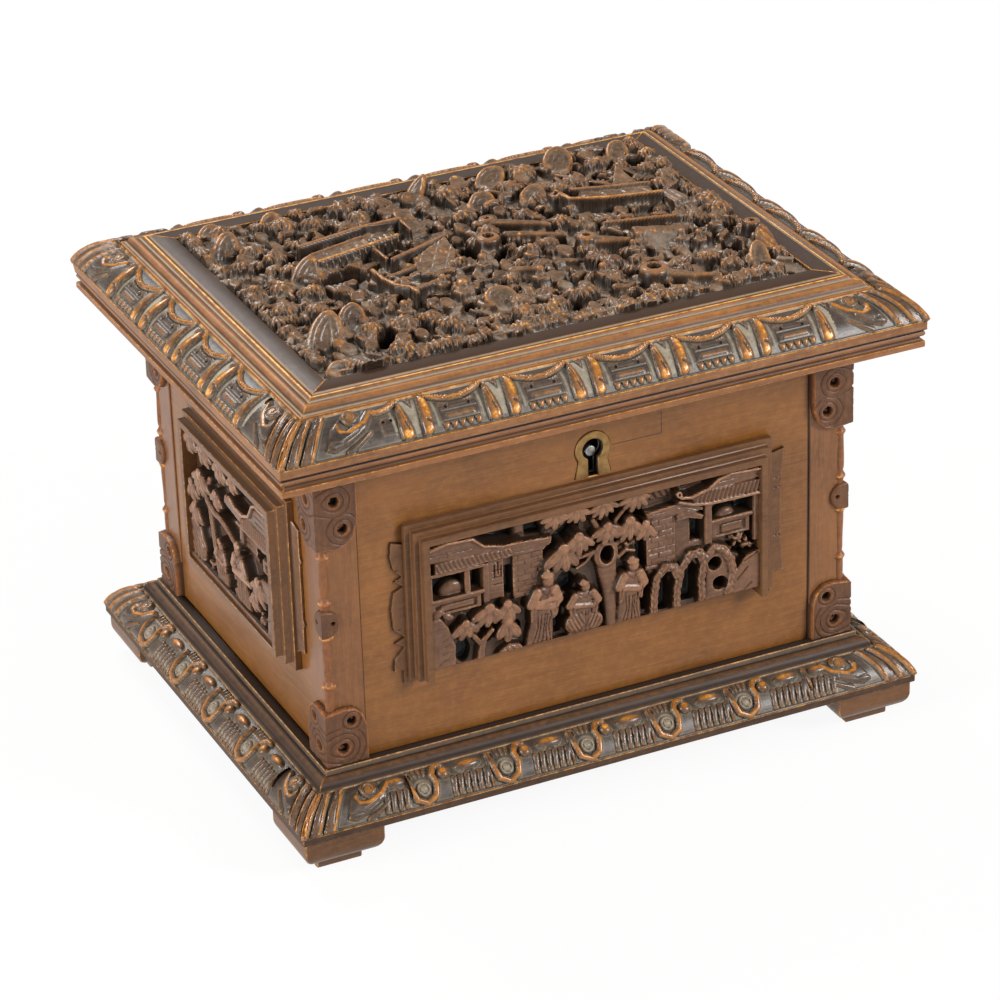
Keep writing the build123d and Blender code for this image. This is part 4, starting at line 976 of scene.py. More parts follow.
def flutes(r, first, last, g):
    """A row of dark leaning flutes with dusty wedges between their feet."""
    for s in np.arange(first, last, 2.5):
        r.stand(stem([(s - .6, .1 * g), (s + .5, .5 * g)], .65, 1.1), 1.15, .6)
        r.mark(1, plate((s + .2, .34 * g), (s + 1.6, .04 * g), (s - .2, .04 * g)), 1, .3)


def plinth_unit(r, g):
    """One running scroll with its ringed boss, ball, oval bead and flutes."""
    for o in (-43.3, -11, 21.3):
        ribbon = [(-5.6, .84), (-5, .5), (-3.7, .2), (0, .07), (3.7, .2), (4.9, .5), (4.3, .72), (6, .92),
                (8.6, .92)]
        r.stand(stem([(o + a, b * g) for a, b in ribbon], 1), 1.8, .8)
        r.mark(0, stem([(o + a, b * g) for a, b in ribbon[1:]], .9), .6, .5)
        r.stand(disc(o - .2, .42 * g, 2.7), 1.2, .8, cut=groove(.5, 1.1, .25))
        r.stand(disc(o - .2, .42 * g, 1.2), 1.7, 1)
        r.mark(1, disc(o - .2, .46 * g, 3.8), .6, .9)
        r.stand(disc(o + 8.6, .7 * g, 2.3), 2, 1.8)
        r.mark(0, disc(o + 8.6, .74 * g, 1.6), .9, .8)
        for k in range(4):
            r.stand(stem([(o - 3.4 + 1.7 * k, .78 * g), (o - 3.8 + 2 * k, .97 * g)], .35, .5), .85, .4)
        r.stand(disc(o + 18.6, .77 * g, 5.2, 2), 1.9, 1.8)
        r.mark(0, disc(o + 18.6, .8 * g, 4.4, 1.4), .85, .8)
        flutes(r, o + 11.4, o + 24.6, g)
        r.stand(stem([(o + 25.8, .08 * g), (o + 25.4, .5 * g), (o + 26.6, .84 * g)], .5, .7), 1.2, .6)


def corner_leaf(r, at, pull):
    """The leaf that folds round a corner: ribbed blades, then a broad lobe curled into a volute."""
    def path(*pairs):
        return [at((1 - pull / 26) * a, b) for a, b in pairs]

    for start, lean, wide, rub in ((.2, .3, 1.3, .7), (4.6, -1.1, 2, .1), (10, -1.6, 2.3, .1)):
        a = start - .1 * pull
        blade = [at(a, .02), at(a + .3 * lean, .45), at(a + lean, .97)]
        r.stand(stem(blade, wide, wide * .6), 1.5, 1, .9, cut=groove(.35, .8, .25))
        r.mark(0, stem(blade, wide * .8), rub, .5)
        edge = [at(a + wide * .8, .05), at(a + wide * .8 + .3 * lean, .45), at(a + lean + wide * .4, .95)]
        r.stand(stem(edge, .4), 1.75, .4)
        r.mark(0, stem(edge, .5), .7, .3)
    lobe = path((15, .62), (16.4, .18), (20, .1), (24.6, .2), (29.4, .46), (29, .8), (26.6, .95), (24.4, .9),
            (24.6, .68), (21.4, .52), (18, .6), (16.2, .84))
    r.stand(plate(*lobe), 1.7, 2, 1.3)
    r.mark(0, stem(path((16.6, .66), (19.5, .5), (23.5, .46), (27.4, .6), (27.6, .82)), .8), .8, .5)
    r.score(path((17.4, .3), (22, .28), (26.6, .44)), .4, .5)
    ball, = path((20.8, .78))

    def spiral(a, b, d):
        far, way = np.hypot(a - ball[0], b - ball[1]), np.arctan2(b - ball[1], a - ball[0])
        return .6 * np.clip(1 - np.abs((far - .3 * way) % 1.9 - .9) / .35, 0, 1) * (far > .6)
    r.stand(disc(*ball, 3.3), 1.8, 1.4, 1, cut=spiral)
    r.mark(0, disc(*ball, 2.4), .45, 1.2)
    r.mark(1, plate(*path((23, .62), (24.6, .72), (24.4, .96), (22.6, .98), (23.8, .8))), .9, .4)
    r.stand(stem(path((25.4, .06), (28.6, .2), (31.4, .36)), 1.1, .5), 1.3, .8)


def border_run():
    """A Geometry Nodes tree that repeats one carved unit along a side."""
    tree = bpy.data.node_groups.new("border_run", "GeometryNodeTree")
    sockets = {}
    for name, kind in (("Unit", "Geometry"), ("Count", "Int"), ("Start", "Vector"), ("Step", "Vector"),
            ("Weld", "Float"), ("Finish", "Material")):
        sockets[name] = tree.interface.new_socket(name, in_out="INPUT", socket_type="NodeSocket" + kind)
    tree.interface.new_socket("Border", in_out="OUTPUT", socket_type="NodeSocketGeometry")
    taken = tree.nodes.new("NodeGroupInput").outputs
    given = tree.nodes.new("NodeGroupOutput").inputs

    def add(kind, **inputs):
        node = tree.nodes.new("GeometryNode" + kind)
        for name, source in inputs.items():
            tree.links.new(source, node.inputs[name.replace("_", " ")])
        return node.outputs[0]
    line = add("MeshLine", Count=taken["Count"], Start_Location=taken["Start"], Offset=taken["Step"])
    run = add("InstanceOnPoints", Points=line, Instance=taken["Unit"])
    whole = add("MergeByDistance", Geometry=add("RealizeInstances", Geometry=run), Distance=taken["Weld"])
    tree.links.new(add("SetMaterial", Geometry=whole, Material=taken["Finish"]), given["Border"])
    return tree, {name: socket.identifier for name, socket in sockets.items()}


run_tree, run_inputs = border_run()


def repeated(mesh, count, start, step, finish):
    """A unit's mesh repeated by the border tree, as a plain mesh."""
    holder = bpy.data.objects.new("border_unit", mesh)
    bpy.context.scene.collection.objects.link(holder)
    modifier = holder.modifiers.new("border_run", "NODES")
    modifier.node_group = run_tree
    for name, value in (("Count", count), ("Start", start), ("Step", step), ("Weld", .004 * MM),
            ("Finish", finish)):
        modifier[run_inputs[name]] = value
    made = bpy.data.meshes.new_from_object(holder.evaluated_get(bpy.context.evaluated_depsgraph_get()))
    bpy.data.objects.remove(holder)
    return made


BORDER_CELL, BORDER_SKIN, BORDER_BACK = .34, .08, -.6
LEAF_LONG = 30


def border(name, side, body, ovolo, unit, count, pitch, middle, fill):
    """A carved border along one side: repeated units, then a leaf at each corner.

    fill carves what stands between the units and a leaf that is some way off.
    """
    half, g = SIDES[side][3], ovolo.girth
    rows = int(round(g / BORDER_CELL)) + 1
    t = np.linspace(0, g, rows)[None, :]
    mitre = half + ovolo.at(t, 0)[0]

    def closed(s, relief, shell, start, end):
        # Painted shade round the outlines of its forms
        marks = relief.finish(BORDER_CELL, NO_FLOOR, grain=0, soft=0, rub=(1.7, 2.4), crevice=0, lines=2.6)
        h = np.maximum(relief.h, BORDER_SKIN)
        out, up = ovolo.at(np.broadcast_to(t, h.shape), h)
        back_out, back_up = ovolo.at(np.array([[g, 0]]), np.full((len(h), 2), BORDER_BACK))
        s = np.broadcast_to(s, h.shape)
        front = on_side(side, s, out, up)
        behind = on_side(side, s[:, ENDS], back_out, back_up)
        shell.carve(front, behind, marks, start, end)

    def ground(s):
        relief = Relief(s, t, .18)
        relief.stand(box(-400, 400, -1, .6), .75, .5)
        return relief

    s = np.linspace(-pitch / 2, pitch / 2, int(round(pitch / BORDER_CELL)) + 1)[:, None]
    relief = ground(s)
    unit(relief, g)
    one = Shell()
    closed(s, relief, one, False, False)
    (ax, ay), _, _, _ = SIDES[side]
    first = (middle - (count - 1) * pitch / 2) * MM
    run = repeated(one.mesh("border_unit", border_wood), count, (ax * first, ay * first, 0),
                   (ax * pitch * MM, ay * pitch * MM, 0), border_wood)
    whole = Shell()
    whole.take(run)
    for hand in (-1, 1):
        reach = count * pitch / 2 + hand * middle
        room = half + 11.5 - reach
        share = np.linspace(0, 1, int(round((room + 6) / BORDER_CELL)))[:, None]
        s = hand * (reach + share * (mitre - reach))
        relief = ground(s)
        corner_leaf(relief, lambda a, b: (hand * (np.interp(b * g, t[0], mitre[0]) - a), b * g),
                max(0, LEAF_LONG - room))
        if room > LEAF_LONG + 3:
            fill(relief, hand, reach, g)
        h = np.maximum(relief.h, BORDER_SKIN)
        proud = ovolo.at(np.broadcast_to(t, h.shape), h)[0] - ovolo.at(t, 0)[0]
        s = s + hand * share * proud
        if hand < 0:
            s, relief.h, relief.painted = s[::-1], relief.h[::-1], relief.painted[::-1]
        closed(s, relief, whole, hand < 0, hand > 0)
    return piece(name, whole.mesh(name, border_wood), body, "carved_wood")


def lid_fill(r, hand, reach, g):
    """Petals and a short cartouche."""
    petals(r, hand * reach, g)
    s = np.linspace(reach + 4.4, reach + 14.5, 9)
    swag = np.stack([hand * s, g * (.76 + .2 * ((s - reach - 11.6) / 7.2) ** 2)], 1)
    eave(r, swag)
    r.stand(box(*sorted((hand * (reach + 7.2), hand * (reach + 12.5))), .24 * g, .6 * g), .7, .3)
    for far in (8.6, 11.4):
        drilled(r, hand * (reach + far), .52 * g)


def plinth_fill(r, hand, reach, g):
    """An oval bead and flutes."""
    r.stand(disc(hand * (reach + 4.6), .77 * g, 4.4, 1.9), 1.8, 1.7)
    r.mark(0, disc(hand * (reach + 4.6), .8 * g, 3.6, 1.3), .7, .8)
    flutes(r, *sorted((hand * (reach + 1.5), hand * (reach + 9.5))), g)


for side in SIDES:
    count, shift = (5, 8.1) if side in ("front", "back") else (4, 0)
    border(f"lid_border_{side}", side, "lid", lid_ovolo, lid_unit, count, LID_PITCH, shift, lid_fill)
    border(f"plinth_border_{side}", side, "case", plinth_ovolo, plinth_unit, count, PLINTH_PITCH, .4, plinth_fill)


# --- Corner posts: flat pilasters, drilled scroll blocks, ringed staffs and half-round bosses ---

POST_FOOT, POST_BASE, POST_TOP = 33, 25.05, 158.9
POST_WIDE, POST_THICK = 14, 10.6
HEAD_FOOT, HEAD_HIGH, FOOT_HIGH, BOSS_LEVEL = 118, 30, 22, 89
STAFF_IN, STAFF_FOOT, STAFF_HEAD, STAFF_KNOBS = 1.15, 54, 119, (115, 97, 83.5, 64)
BLOCK_CELL, BLOCK_BACK = .3, -1.2


def scroll_block(outline, eyes, high):
    """The carved face of a head or foot block: two drilled scrolls with grooves round them."""
    a = np.linspace(0, POST_WIDE, int(POST_WIDE / BLOCK_CELL) + 1)[:, None]
    b = np.linspace(0, high, int(high / BLOCK_CELL) + 1)[None, :]
    relief = Relief(a, b, -.4)
    (a1, b1, r1, ring1), (a2, b2, r2, ring2) = eyes

    def rings(p, q, d):
        far1, far2 = np.hypot(p - a1, q - b1), np.hypot(p - a2, q - b2)
        far = np.where(far1 < ring1, far1, far2)
        eye = np.where(far1 < ring1, r1, r2)
        return .5 * np.clip(1 - np.abs((far - eye) % 2.3 - 1.5) / .42, 0, 1) * (far > eye) * (far < ring2 + 3)
    relief.stand(plate(*outline), 2.5, .6, .5, cut=rings)
    # The drilled eyes, their insides painted black as shade
    for p, q, r, _ in eyes:
        relief.sink(disc(p, q, r), 0, .4)
        relief.mark(2, disc(p, q, r), 1, .5)
    return relief


HEAD_OUTLINE = [(-4, 31), (-4, 1.6), (1.5, .4), (5, .05), (9, 1.2), (12, 4), (13.5, 8.5), (13.8, 14), (13.8, 31)]
FOOT_OUTLINE = [(-4, -1), (-4, 19.5), (1, 21), (5, 21.9), (9, 21.2), (12, 18.6), (13.6, 14), (13.8, 8), (13.8, -1)]
# Each scroll's eye: along, up, its radius and how far its grooves go
HEAD_EYES = (5.1, 18.6, 2.1, 6.2), (8, 7.6, 2.1, 5)
FOOT_EYES = (7.8, 16.6, 2, 5), (4.4, 6.2, 2.2, 6.4)


def corner_post(corner):
    """A post in two pieces: its plain core, and the blocks, bosses and staff carved on it."""
    sx, sy = CORNERS[corner]
    shell, core = Shell(), Shell()

    def place(a, out, z, on_end):
        """a in from the arris, out from the face: on the front or back face, or on the end."""
        p, q = (-out, a) if on_end else (a, -out)
        return np.stack([sx * (HALF_WIDE - p), sy * (HALF_DEEP - q), z + 0 * a], -1)

    def face(relief, z0, on_end):
        marks = relief.finish(BLOCK_CELL, NO_FLOOR, grain=.03, soft=.2, crevice=0)
        a, b, h = relief.a, relief.b, relief.h
        a = a - np.maximum(h, 0) * np.clip(1 - a / 2.5, 0, 1)
        front = place(a, h, z0 + b, on_end)
        behind = place(relief.a[:, ENDS] + .3, np.full((len(h), 2), BLOCK_BACK), z0 + b[:, ENDS], on_end)
        shell.carve(front, behind, marks)

    for on_end in (False, True):
        face(scroll_block(HEAD_OUTLINE, HEAD_EYES, HEAD_HIGH), HEAD_FOOT, on_end)
        face(scroll_block(FOOT_OUTLINE, FOOT_EYES, FOOT_HIGH), POST_FOOT, on_end)
        a = np.linspace(0, 6.2, 24)[:, None]
        b = np.linspace(-6, 6, 44)[None, :]
        boss = Relief(a, b, -.4)
        boss.stand(disc(.2, 0, 5.4), 1.5, 1.2, .9)
        boss.sink(disc(3.1, .3, .95), 0, .35)
        face(boss, BOSS_LEVEL, on_end)
    z = np.linspace(STAFF_FOOT, STAFF_HEAD, 150)
    girth = 1.72 + .12 * np.sin((z - STAFF_FOOT) * .29)
    for level in STAFF_KNOBS:
        girth = girth + .75 * np.exp(-((z - level) / .9) ** 2) - .25 * np.exp(-((z - level - 2.2) / .8) ** 2)
    turn = np.linspace(0, 2 * pi, 25)[:-1]
    ring = np.stack([np.cos(turn), np.sin(turn)], -1)
    staff = np.zeros((len(z), len(turn), 3))
    staff[..., 0] = sx * (HALF_WIDE - STAFF_IN) + girth[:, None] * ring[:, 0]
    staff[..., 1] = sy * (HALF_DEEP - STAFF_IN) + girth[:, None] * ring[:, 1]
    staff[..., 2] = z[:, None]
    marks = np.zeros((len(z), len(turn), 3))
    marks[..., 0] = np.clip((girth[:, None] - 1.9) * 1.2, 0, 1) + .35
    shell.loft(staff, marks)
    ell = [(.3, 0), (POST_WIDE - .3, 0), (POST_WIDE, .3), (POST_WIDE, POST_THICK), (POST_THICK, POST_THICK),
            (POST_THICK, POST_WIDE), (.3, POST_WIDE), (0, POST_WIDE - .3), (0, .3)]
    level = np.linspace(POST_BASE, POST_TOP, 5)
    body = np.array([[(sx * (HALF_WIDE - p), sy * (HALF_DEEP - q), h) for p, q in ell] for h in level])
    core.loft(body)
    for part, name, finish, slot, *cad in ((core, "pilaster", post_wood, "board_wood", f"post_{corner}"),
            (shell, "pilaster_carving", scroll_wood, "carved_wood")):
        mesh = part.mesh(f"{name}_{corner}", finish, 40, turned=True)
        piece(f"{name}_{corner}", mesh, "case", slot, *cad)


for corner in CORNERS:
    corner_post(corner)


# --- Gardens carved in the wall panels and on the lid ---

PANEL_HIGH, PANEL_CELL = 53, .3
PANEL_VOID, PANEL_GROUND, PANEL_TOP = .6, 3.6, 9.3
PANEL_FLOOR, PANEL_BACK = -1.6, -3.4
# The front's scene slopes down to its open foot
FRONT_FOOT, FRONT_SLOPE = 2.2, 1.7


def wall_panel(side, wide, middle, foot, draw, seed, shift):
    """A garden scene in a wall's frame, its openings painted black as shade. draw carves it; shift is from the
    panel to the drawing.
    """
    a, b = grid(wide, PANEL_HIGH, PANEL_CELL)
    relief = Relief(a + shift[0], b + shift[1], PANEL_GROUND, seed)
    draw(relief)
    if side == "front":
        relief.h = np.minimum(relief.h, FRONT_FOOT + FRONT_SLOPE * (b + 0 * a))
    relief.h = np.clip(relief.h, PANEL_VOID, PANEL_TOP)
    # Its highest forms take the rubbed tones: wear and a painted highlight
    marks = relief.finish(PANEL_CELL, PANEL_VOID, 5.2, rub=(8, 9.2))
    front = on_side(side, middle + a + 0 * b, PANEL_FLOOR + relief.h, foot + b + 0 * a)
    ends = np.broadcast_to(b, relief.h.shape)[:, ENDS]
    behind = on_side(side, middle + a + 0 * ends, PANEL_BACK + 0 * ends, foot + ends)
    shell = Shell()
    shell.carve(front, behind, marks)
    mesh = shell.mesh(f"{side}_garden", panel_wood, 50, out=(*SIDES[side][1], 0))
    return piece(f"{side}_garden", mesh, "case", "carved_wood", f"{side}_carving")


def hatched(pitch, slope=0, depth=.5):
    """Close parallel gouge cuts over a form."""
    return lambda a, b, d: depth * np.clip(np.cos(2 * pi * (a + slope * b) / pitch) * 2 - .6, 0, 1) * (d > .5)


def crossed(pitch, slope, depth, sharp):
    """Thin lines crossing each other over a form."""
    def cut(a, b, d):
        lines = np.maximum(np.cos(2 * pi * (a + b) / pitch), np.cos(2 * pi * (a - slope * b) / pitch))
        return depth * np.clip(lines * sharp - (sharp - 1), 0, 1)
    return cut


def pierced(r, *outlines):
    """Openings sunk behind the forms, their floors painted black as shade."""
    for outline in outlines:
        r.sink(outline, PANEL_VOID, .7)


def balustrade(r, a0, a1, b0, b1, top):
    """A carved rail over a sunk tablet."""
    r.stand(box(a0, a1, b0, b1), top - .6, .4)
    r.sink(box(a0 + 1.6, a1 - 1.6, b0 + 1, b1 - 1.6), top - 1.7, .3)
    r.stand(box(a0 + 4, a1 - 3, b0 + 1.5, b1 - 2.1), top - .7, .4)
    r.stand(stem([(a0 - .5, b1), (a1 + .5, b1)], .8), top, .6)


def front_garden(r):
    """A long scene: pavilions at both ends, a tree and people between them, and a grotto."""
    # Boards and brick walls behind
    r.brick([(-31.5, 84), (-17.5, 84), (-17.5, 102), (-31.5, 102)], 5.6, 5.4, 2.1)
    r.stand(plate((-36, 102), (-17, 101.4), (-16.4, 106), (-35, 107.4)), 6.8, .5)
    r.score([(-34, 103.2), (-18, 102.8)])
    r.brick([(20.6, 82), (33, 82), (33, 106.6), (20.6, 106)], 5.8, 5.8, 2.2)
    r.stand(plate((21, 105.6), (38, 107), (44, 102.6), (43, 99.4), (33, 102.2), (21, 103.2)), 6.9, .5)
    r.score([(22, 104.4), (36, 104.8), (43, 101.4)])
    r.stand(box(33, 39.4, 84, 100), 4.6, .4)
    r.stand(box(-44, -35, 86, 101.5), 5.4, .4)
    for a, b0, b1 in ((-38.6, 94.6, 99.4), (-37.2, 95.6, 100), (-36, 94.6, 98.6)):
        r.score([(a, b0), (a, b1)], .3, 1)
    for b in (91.6, 94.4, 97, 100.2):
        r.score([(-39.4, b), (-35.8, b)], .28, .9)
    r.stand(box(-30.6, -26.4, 109, 115.5), 4.8, 1.2)
    r.stand(box(22, 34, 109, 115.5), 4.4, 1, cut=hatched(2.6, .5, .9))
    pierced(r, disc(-57, 96.2, 6.6, 5.2), box(-50, -44.4, 92.6, 101), box(-35, -31.6, 86, 97.4),
            plate((-45.6, 113.6), (-43.4, 110.4), (-36, 108.4), (-31, 108.4), (-31, 115.5), (-45, 115.5)),
            plate((-26, 107.4), (-19, 107), (-18, 115.5), (-26, 115.5)), plate((-19.6, 95), (-19.6, 102),
            (-13, 106), (-9, 108.6), (-4, 109.8), (-4.6, 105), (-11, 102), (-16, 96)), disc(10.4, 106.8, 3.2, 2.6),
            disc(17.6, 106, 3, 3.6), disc(-10.2, 85, 3.6, 4.2), box(17.6, 21.2, 84, 97),
            plate((-18.4, 65.6), (-12.6, 65.6), (-11.6, 78), (-14, 83), (-18, 75)), box(3.2, 7.8, 65.4, 75),
            box(17, 22, 65.6, 78), box(39.4, 44.2, 88, 101.6), disc(53.6, 96.8, 5.8, 5), box(58.6, 66.5, 95, 104),
            box(35.8, 38.6, 111.6, 115.5), plate((44.6, 110.6), (49.6, 113), (49.6, 115.5), (45, 115.5)),
            disc(1, 98, 1.8, 1.5), plate((54, 85), (60, 83.4), (66.6, 93), (66.6, 82), (60, 78), (57, 79.6)),
            disc(-30, 72, 1.7, 2.8))
    # Pavilion on the left
    r.stand(plate((-65, 110), (-65, 113), (-58, 114), (-48, 113.4), (-43.6, 109.4), (-36, 107.6), (-28.6, 107.6),
            (-30.4, 105.4), (-46, 106.4), (-65, 107)), 7.6, .6)
    r.score([(-64, 109.6), (-46, 109.2)])
    r.score([(-58, 110.6), (-57.4, 108.2)])
    r.stand(stem([(-65, 112.6), (-58, 114), (-48, 113.4), (-43.8, 109.6), (-36.4, 107.8), (-28.6, 107.6)], .75, .5),
            8.8, .6)
    r.roof([(-62.6, 102.8), (-33.6, 102.6), (-31.6, 105.6), (-46, 106.6), (-62.6, 106.8)], 8.2, 1.75, -.45)
    r.stand(stem([(-64, 101.8), (-43.6, 101.6)], .8), 7.4, .5)
    r.stand(disc(-55, 93.2, 5.2, 4, 8), 5.2, 2.4, 2.4)
    for a in (-64.2, -49.6, -42.4):
        r.stand(box(a - 1.1, a + 1.3, 85, 101.6), 6.6, .7)
    balustrade(r, -64, -44.4, 85.2, 91.2, 7.2)
    # Wall, pavilion and eave on the right
    r.stand(plate((32.6, 110.4), (37, 108.6), (45, 110.2), (49.2, 113), (54, 114.2), (67, 113.4), (67, 109.4),
            (45, 108.6), (40, 106)), 7.4, .6)
    r.score([(50, 111.4), (66, 111.2)])
    r.stand(stem([(32.6, 111.2), (34.4, 109.2), (38, 108.6), (45, 110.2), (49.2, 113), (54, 114.2), (67, 113.4)],
            .8, .6), 8.8, .6)
    r.curl(33.4, 110.8, 1.3, .4, 8.6)
    r.roof([(38.6, 105.4), (46, 104.6), (67, 104.4), (67, 109.2), (45, 109.4), (40, 107)], 8.2, 1.75, .35)
    r.stand(stem([(33.6, 107.6), (39, 105.4), (46, 104.2), (67, 103.8)], .7), 8.6, .5)
    for a, b0, b1 in ((46, 87, 104), (65.8, 84, 104)):
        r.stand(box(a - 1.6, a + 1.5, b0, b1), 7, .9)
    r.stand(disc(53.4, 95.4, 4.6, 3.6, 20), 5, 2.2, 2.2)
    balustrade(r, 47.6, 63, 88.4, 95.4, 6.8)
    r.stand(plate((33, 102), (38, 103), (44, 99.6), (43, 98), (37.6, 99.8), (33, 99.6)), 7.2, .5)
    # Tree in the middle
    r.stand(stem([(6.6, 64), (6.4, 76), (5.6, 85), (4.8, 93)], 2, 4.4), 6.6, 1.8, 1.6)
    r.stand(disc(4.7, 93.6, 4.9, 5.8), 7.4, 1.6, 1.3)
    r.sink(disc(4.8, 93.6, 2.7, 3.7), PANEL_VOID, .5)
    for points, wide in (([(1.2, 95.6), (-3, 94.8), (-8.4, 94)], .9), ([(-.6, 95), (-3.6, 92), (-7, 90.6)], .7),
            ([(8.6, 96), (12, 99), (15, 102)], 1.2), ([(4, 98), (2, 104), (0, 108)], 1.3),
            ([(9.6, 91), (12.6, 93), (16, 92)], .9), ([(6, 100), (9, 106), (13, 110)], 1)):
        r.stand(stem(points, wide, wide * .8), 6.8, wide, wide)
    r.sprays(8.7, (-15.6, 115.4, 6.6, 190, 345, 5), (-7.4, 115.6, 6.8, 200, 340, 5), (3.4, 115.4, 7, 200, 342, 6),
            (16, 115.6, 7.2, 196, 346, 6), (-12.6, 100.4, 9.6, 205, 320, 4), (-6.6, 104, 8, 205, 335, 5),
            (5, 105.2, 7.6, 195, 345, 6), (13.8, 105.2, 8.4, 212, 328, 5), (20, 102.4, 7, 225, 318, 3))
    r.tuft(13.6, 94.4, 3.2, 14, 6.4, .8)
    # Leaning tree, rocks and leaves at the left foot
    r.stand(plate((-65, 62), (-55.6, 62), (-55, 72), (-57.6, 80), (-60.4, 84.6), (-65, 84.6)), 7.6, 1.4, 1)
    for line in (((-61, 75), (-58, 76.4)), ((-60, 73), (-57.6, 74)), ((-62.6, 66), (-58, 68.6)),
            ((-61, 70), (-58.6, 71))):
        r.score(line, .25, .45)
    r.stand(disc(-61.6, 86.4, 2.6, 1.8, 30), 7.6, 1.4, 1.4)
    r.stand(disc(-57.6, 84.2, 2.4, 1.4, -25), 7.2, 1.2, 1.2)
    r.stand(stem([(-46, 61), (-45.4, 68), (-44.2, 72), (-41, 75)], 1.6, .9), 8, 1.3)
    r.stand(stem([(-45, 70), (-48, 74), (-50, 77)], 1.1, .8), 7.4, .9)
    r.sink(disc(-51.2, 68, 2.9, 5), PANEL_VOID, .5)
    for spot in ((-43.6, 76, 1.4, 1.6), (-41.4, 70.6, 1.9, 1.6)):
        r.sink(disc(*spot), PANEL_VOID, .5)
    r.sprays(8.6, (-42, 84.4, 8.2, 196, 330, 5), (-35, 84.2, 7.6, 216, 330, 4), (-51.4, 80.6, 6.8, 205, 335, 4),
            (-35, 77, 8, 220, 320, 3))
    r.stand(plate((-40, 62), (-27, 62), (-30, 66.4), (-34, 67.6), (-38, 65.4)), 7.4, 1.6, 1.6,
            cut=hatched(2.4, .8, .5))
    r.stand(plate((-28, 62), (22, 62), (22, 63.4), (-28, 64.2)), 8.2, .5)
    # People
    r.person(-22.4, 64.6, 28.4, 8.4, .12, 1, .92)
    r.stand(plate((-24.6, 82.4), (-13.6, 83.6), (-14, 81.4), (-24, 80.4)), 8.9, .7)
    r.stand(plate((-20.6, 81.4), (-13.8, 82), (-15.4, 75), (-17.6, 73.4), (-20, 77)), 8.3, 1,
            cut=hatched(1.5, .2, .6))
    r.person(-5.2, 64.2, 21.6, 8.2, .02, 1, 1.3)
    r.stand(disc(-8.2, 69.4, 4.4, 4, 25), 8.5, 2.2, 2, cut=hatched(1.6, .5, .5))
    r.stand(disc(-1.2, 68.6, 4, 3.6, -25), 8.3, 2, 1.8, cut=hatched(1.6, -.5, .5))
    r.person(13.2, 64.2, 26, 8.4, .06, 1, .94)
    # Grotto on the right
    def rocky(a, b, d):
        return .5 * np.abs(np.sin(b * 1.1 + np.sin(a * 1.7))) ** 3 + groove(.4, .9, .25)(a, b, d)
    r.stand(plate((21.6, 82), (24, 85.4), (31, 85), (34, 88), (41, 89.6), (49, 88.4), (57, 82), (53, 78), (22, 78)),
            5, 1.6)
    pierced(r, plate((25, 63.6), (30.6, 63.6), (31, 77), (29, 80.4), (26.4, 79)),
            plate((34.2, 65), (41, 65), (41.6, 79), (39, 82.6), (36, 80)))
    for arch in ([(23, 63), (23.4, 72), (24.4, 79), (28, 82.6), (31.6, 81.6), (33, 78)],
            [(32.4, 63), (32.6, 72), (34.4, 80), (38, 85), (42, 85), (43.6, 81)], [(43, 63), (42.6, 74), (44, 82),
            (47.6, 85.6), (51.6, 84), (54.6, 79), (55.6, 73), (53.6, 66)]):
        r.stand(stem(arch, 1.5, 1.9), 8.4, 1.6, 1.3, cut=rocky)
    r.stand(plate((44, 64), (55, 64), (55.4, 80), (50, 84), (45, 82)), 6.8, 1.6, 1.4)
    for spot in ((48.4, 78.6, 2.7, 2.7), (50.4, 70.2, 2.9, 2.7)):
        r.sink(disc(*spot), PANEL_VOID, .6)
    r.stand(plate((54, 62), (67, 62), (67, 80.4), (61, 79), (56, 73.4)), 7.8, 1.2, 1)
    for line in (((56.8, 70), (61.4, 74.4)), ((57.6, 64), (63, 67.6)), ((60, 77), (66, 79.6))):
        r.score(line, .4, .9)
    for a, b in ((62.6, 83.6), (58, 86), (-25, 65.6)):
        r.tuft(a, b, 2.4, 10, 7.2, .75)


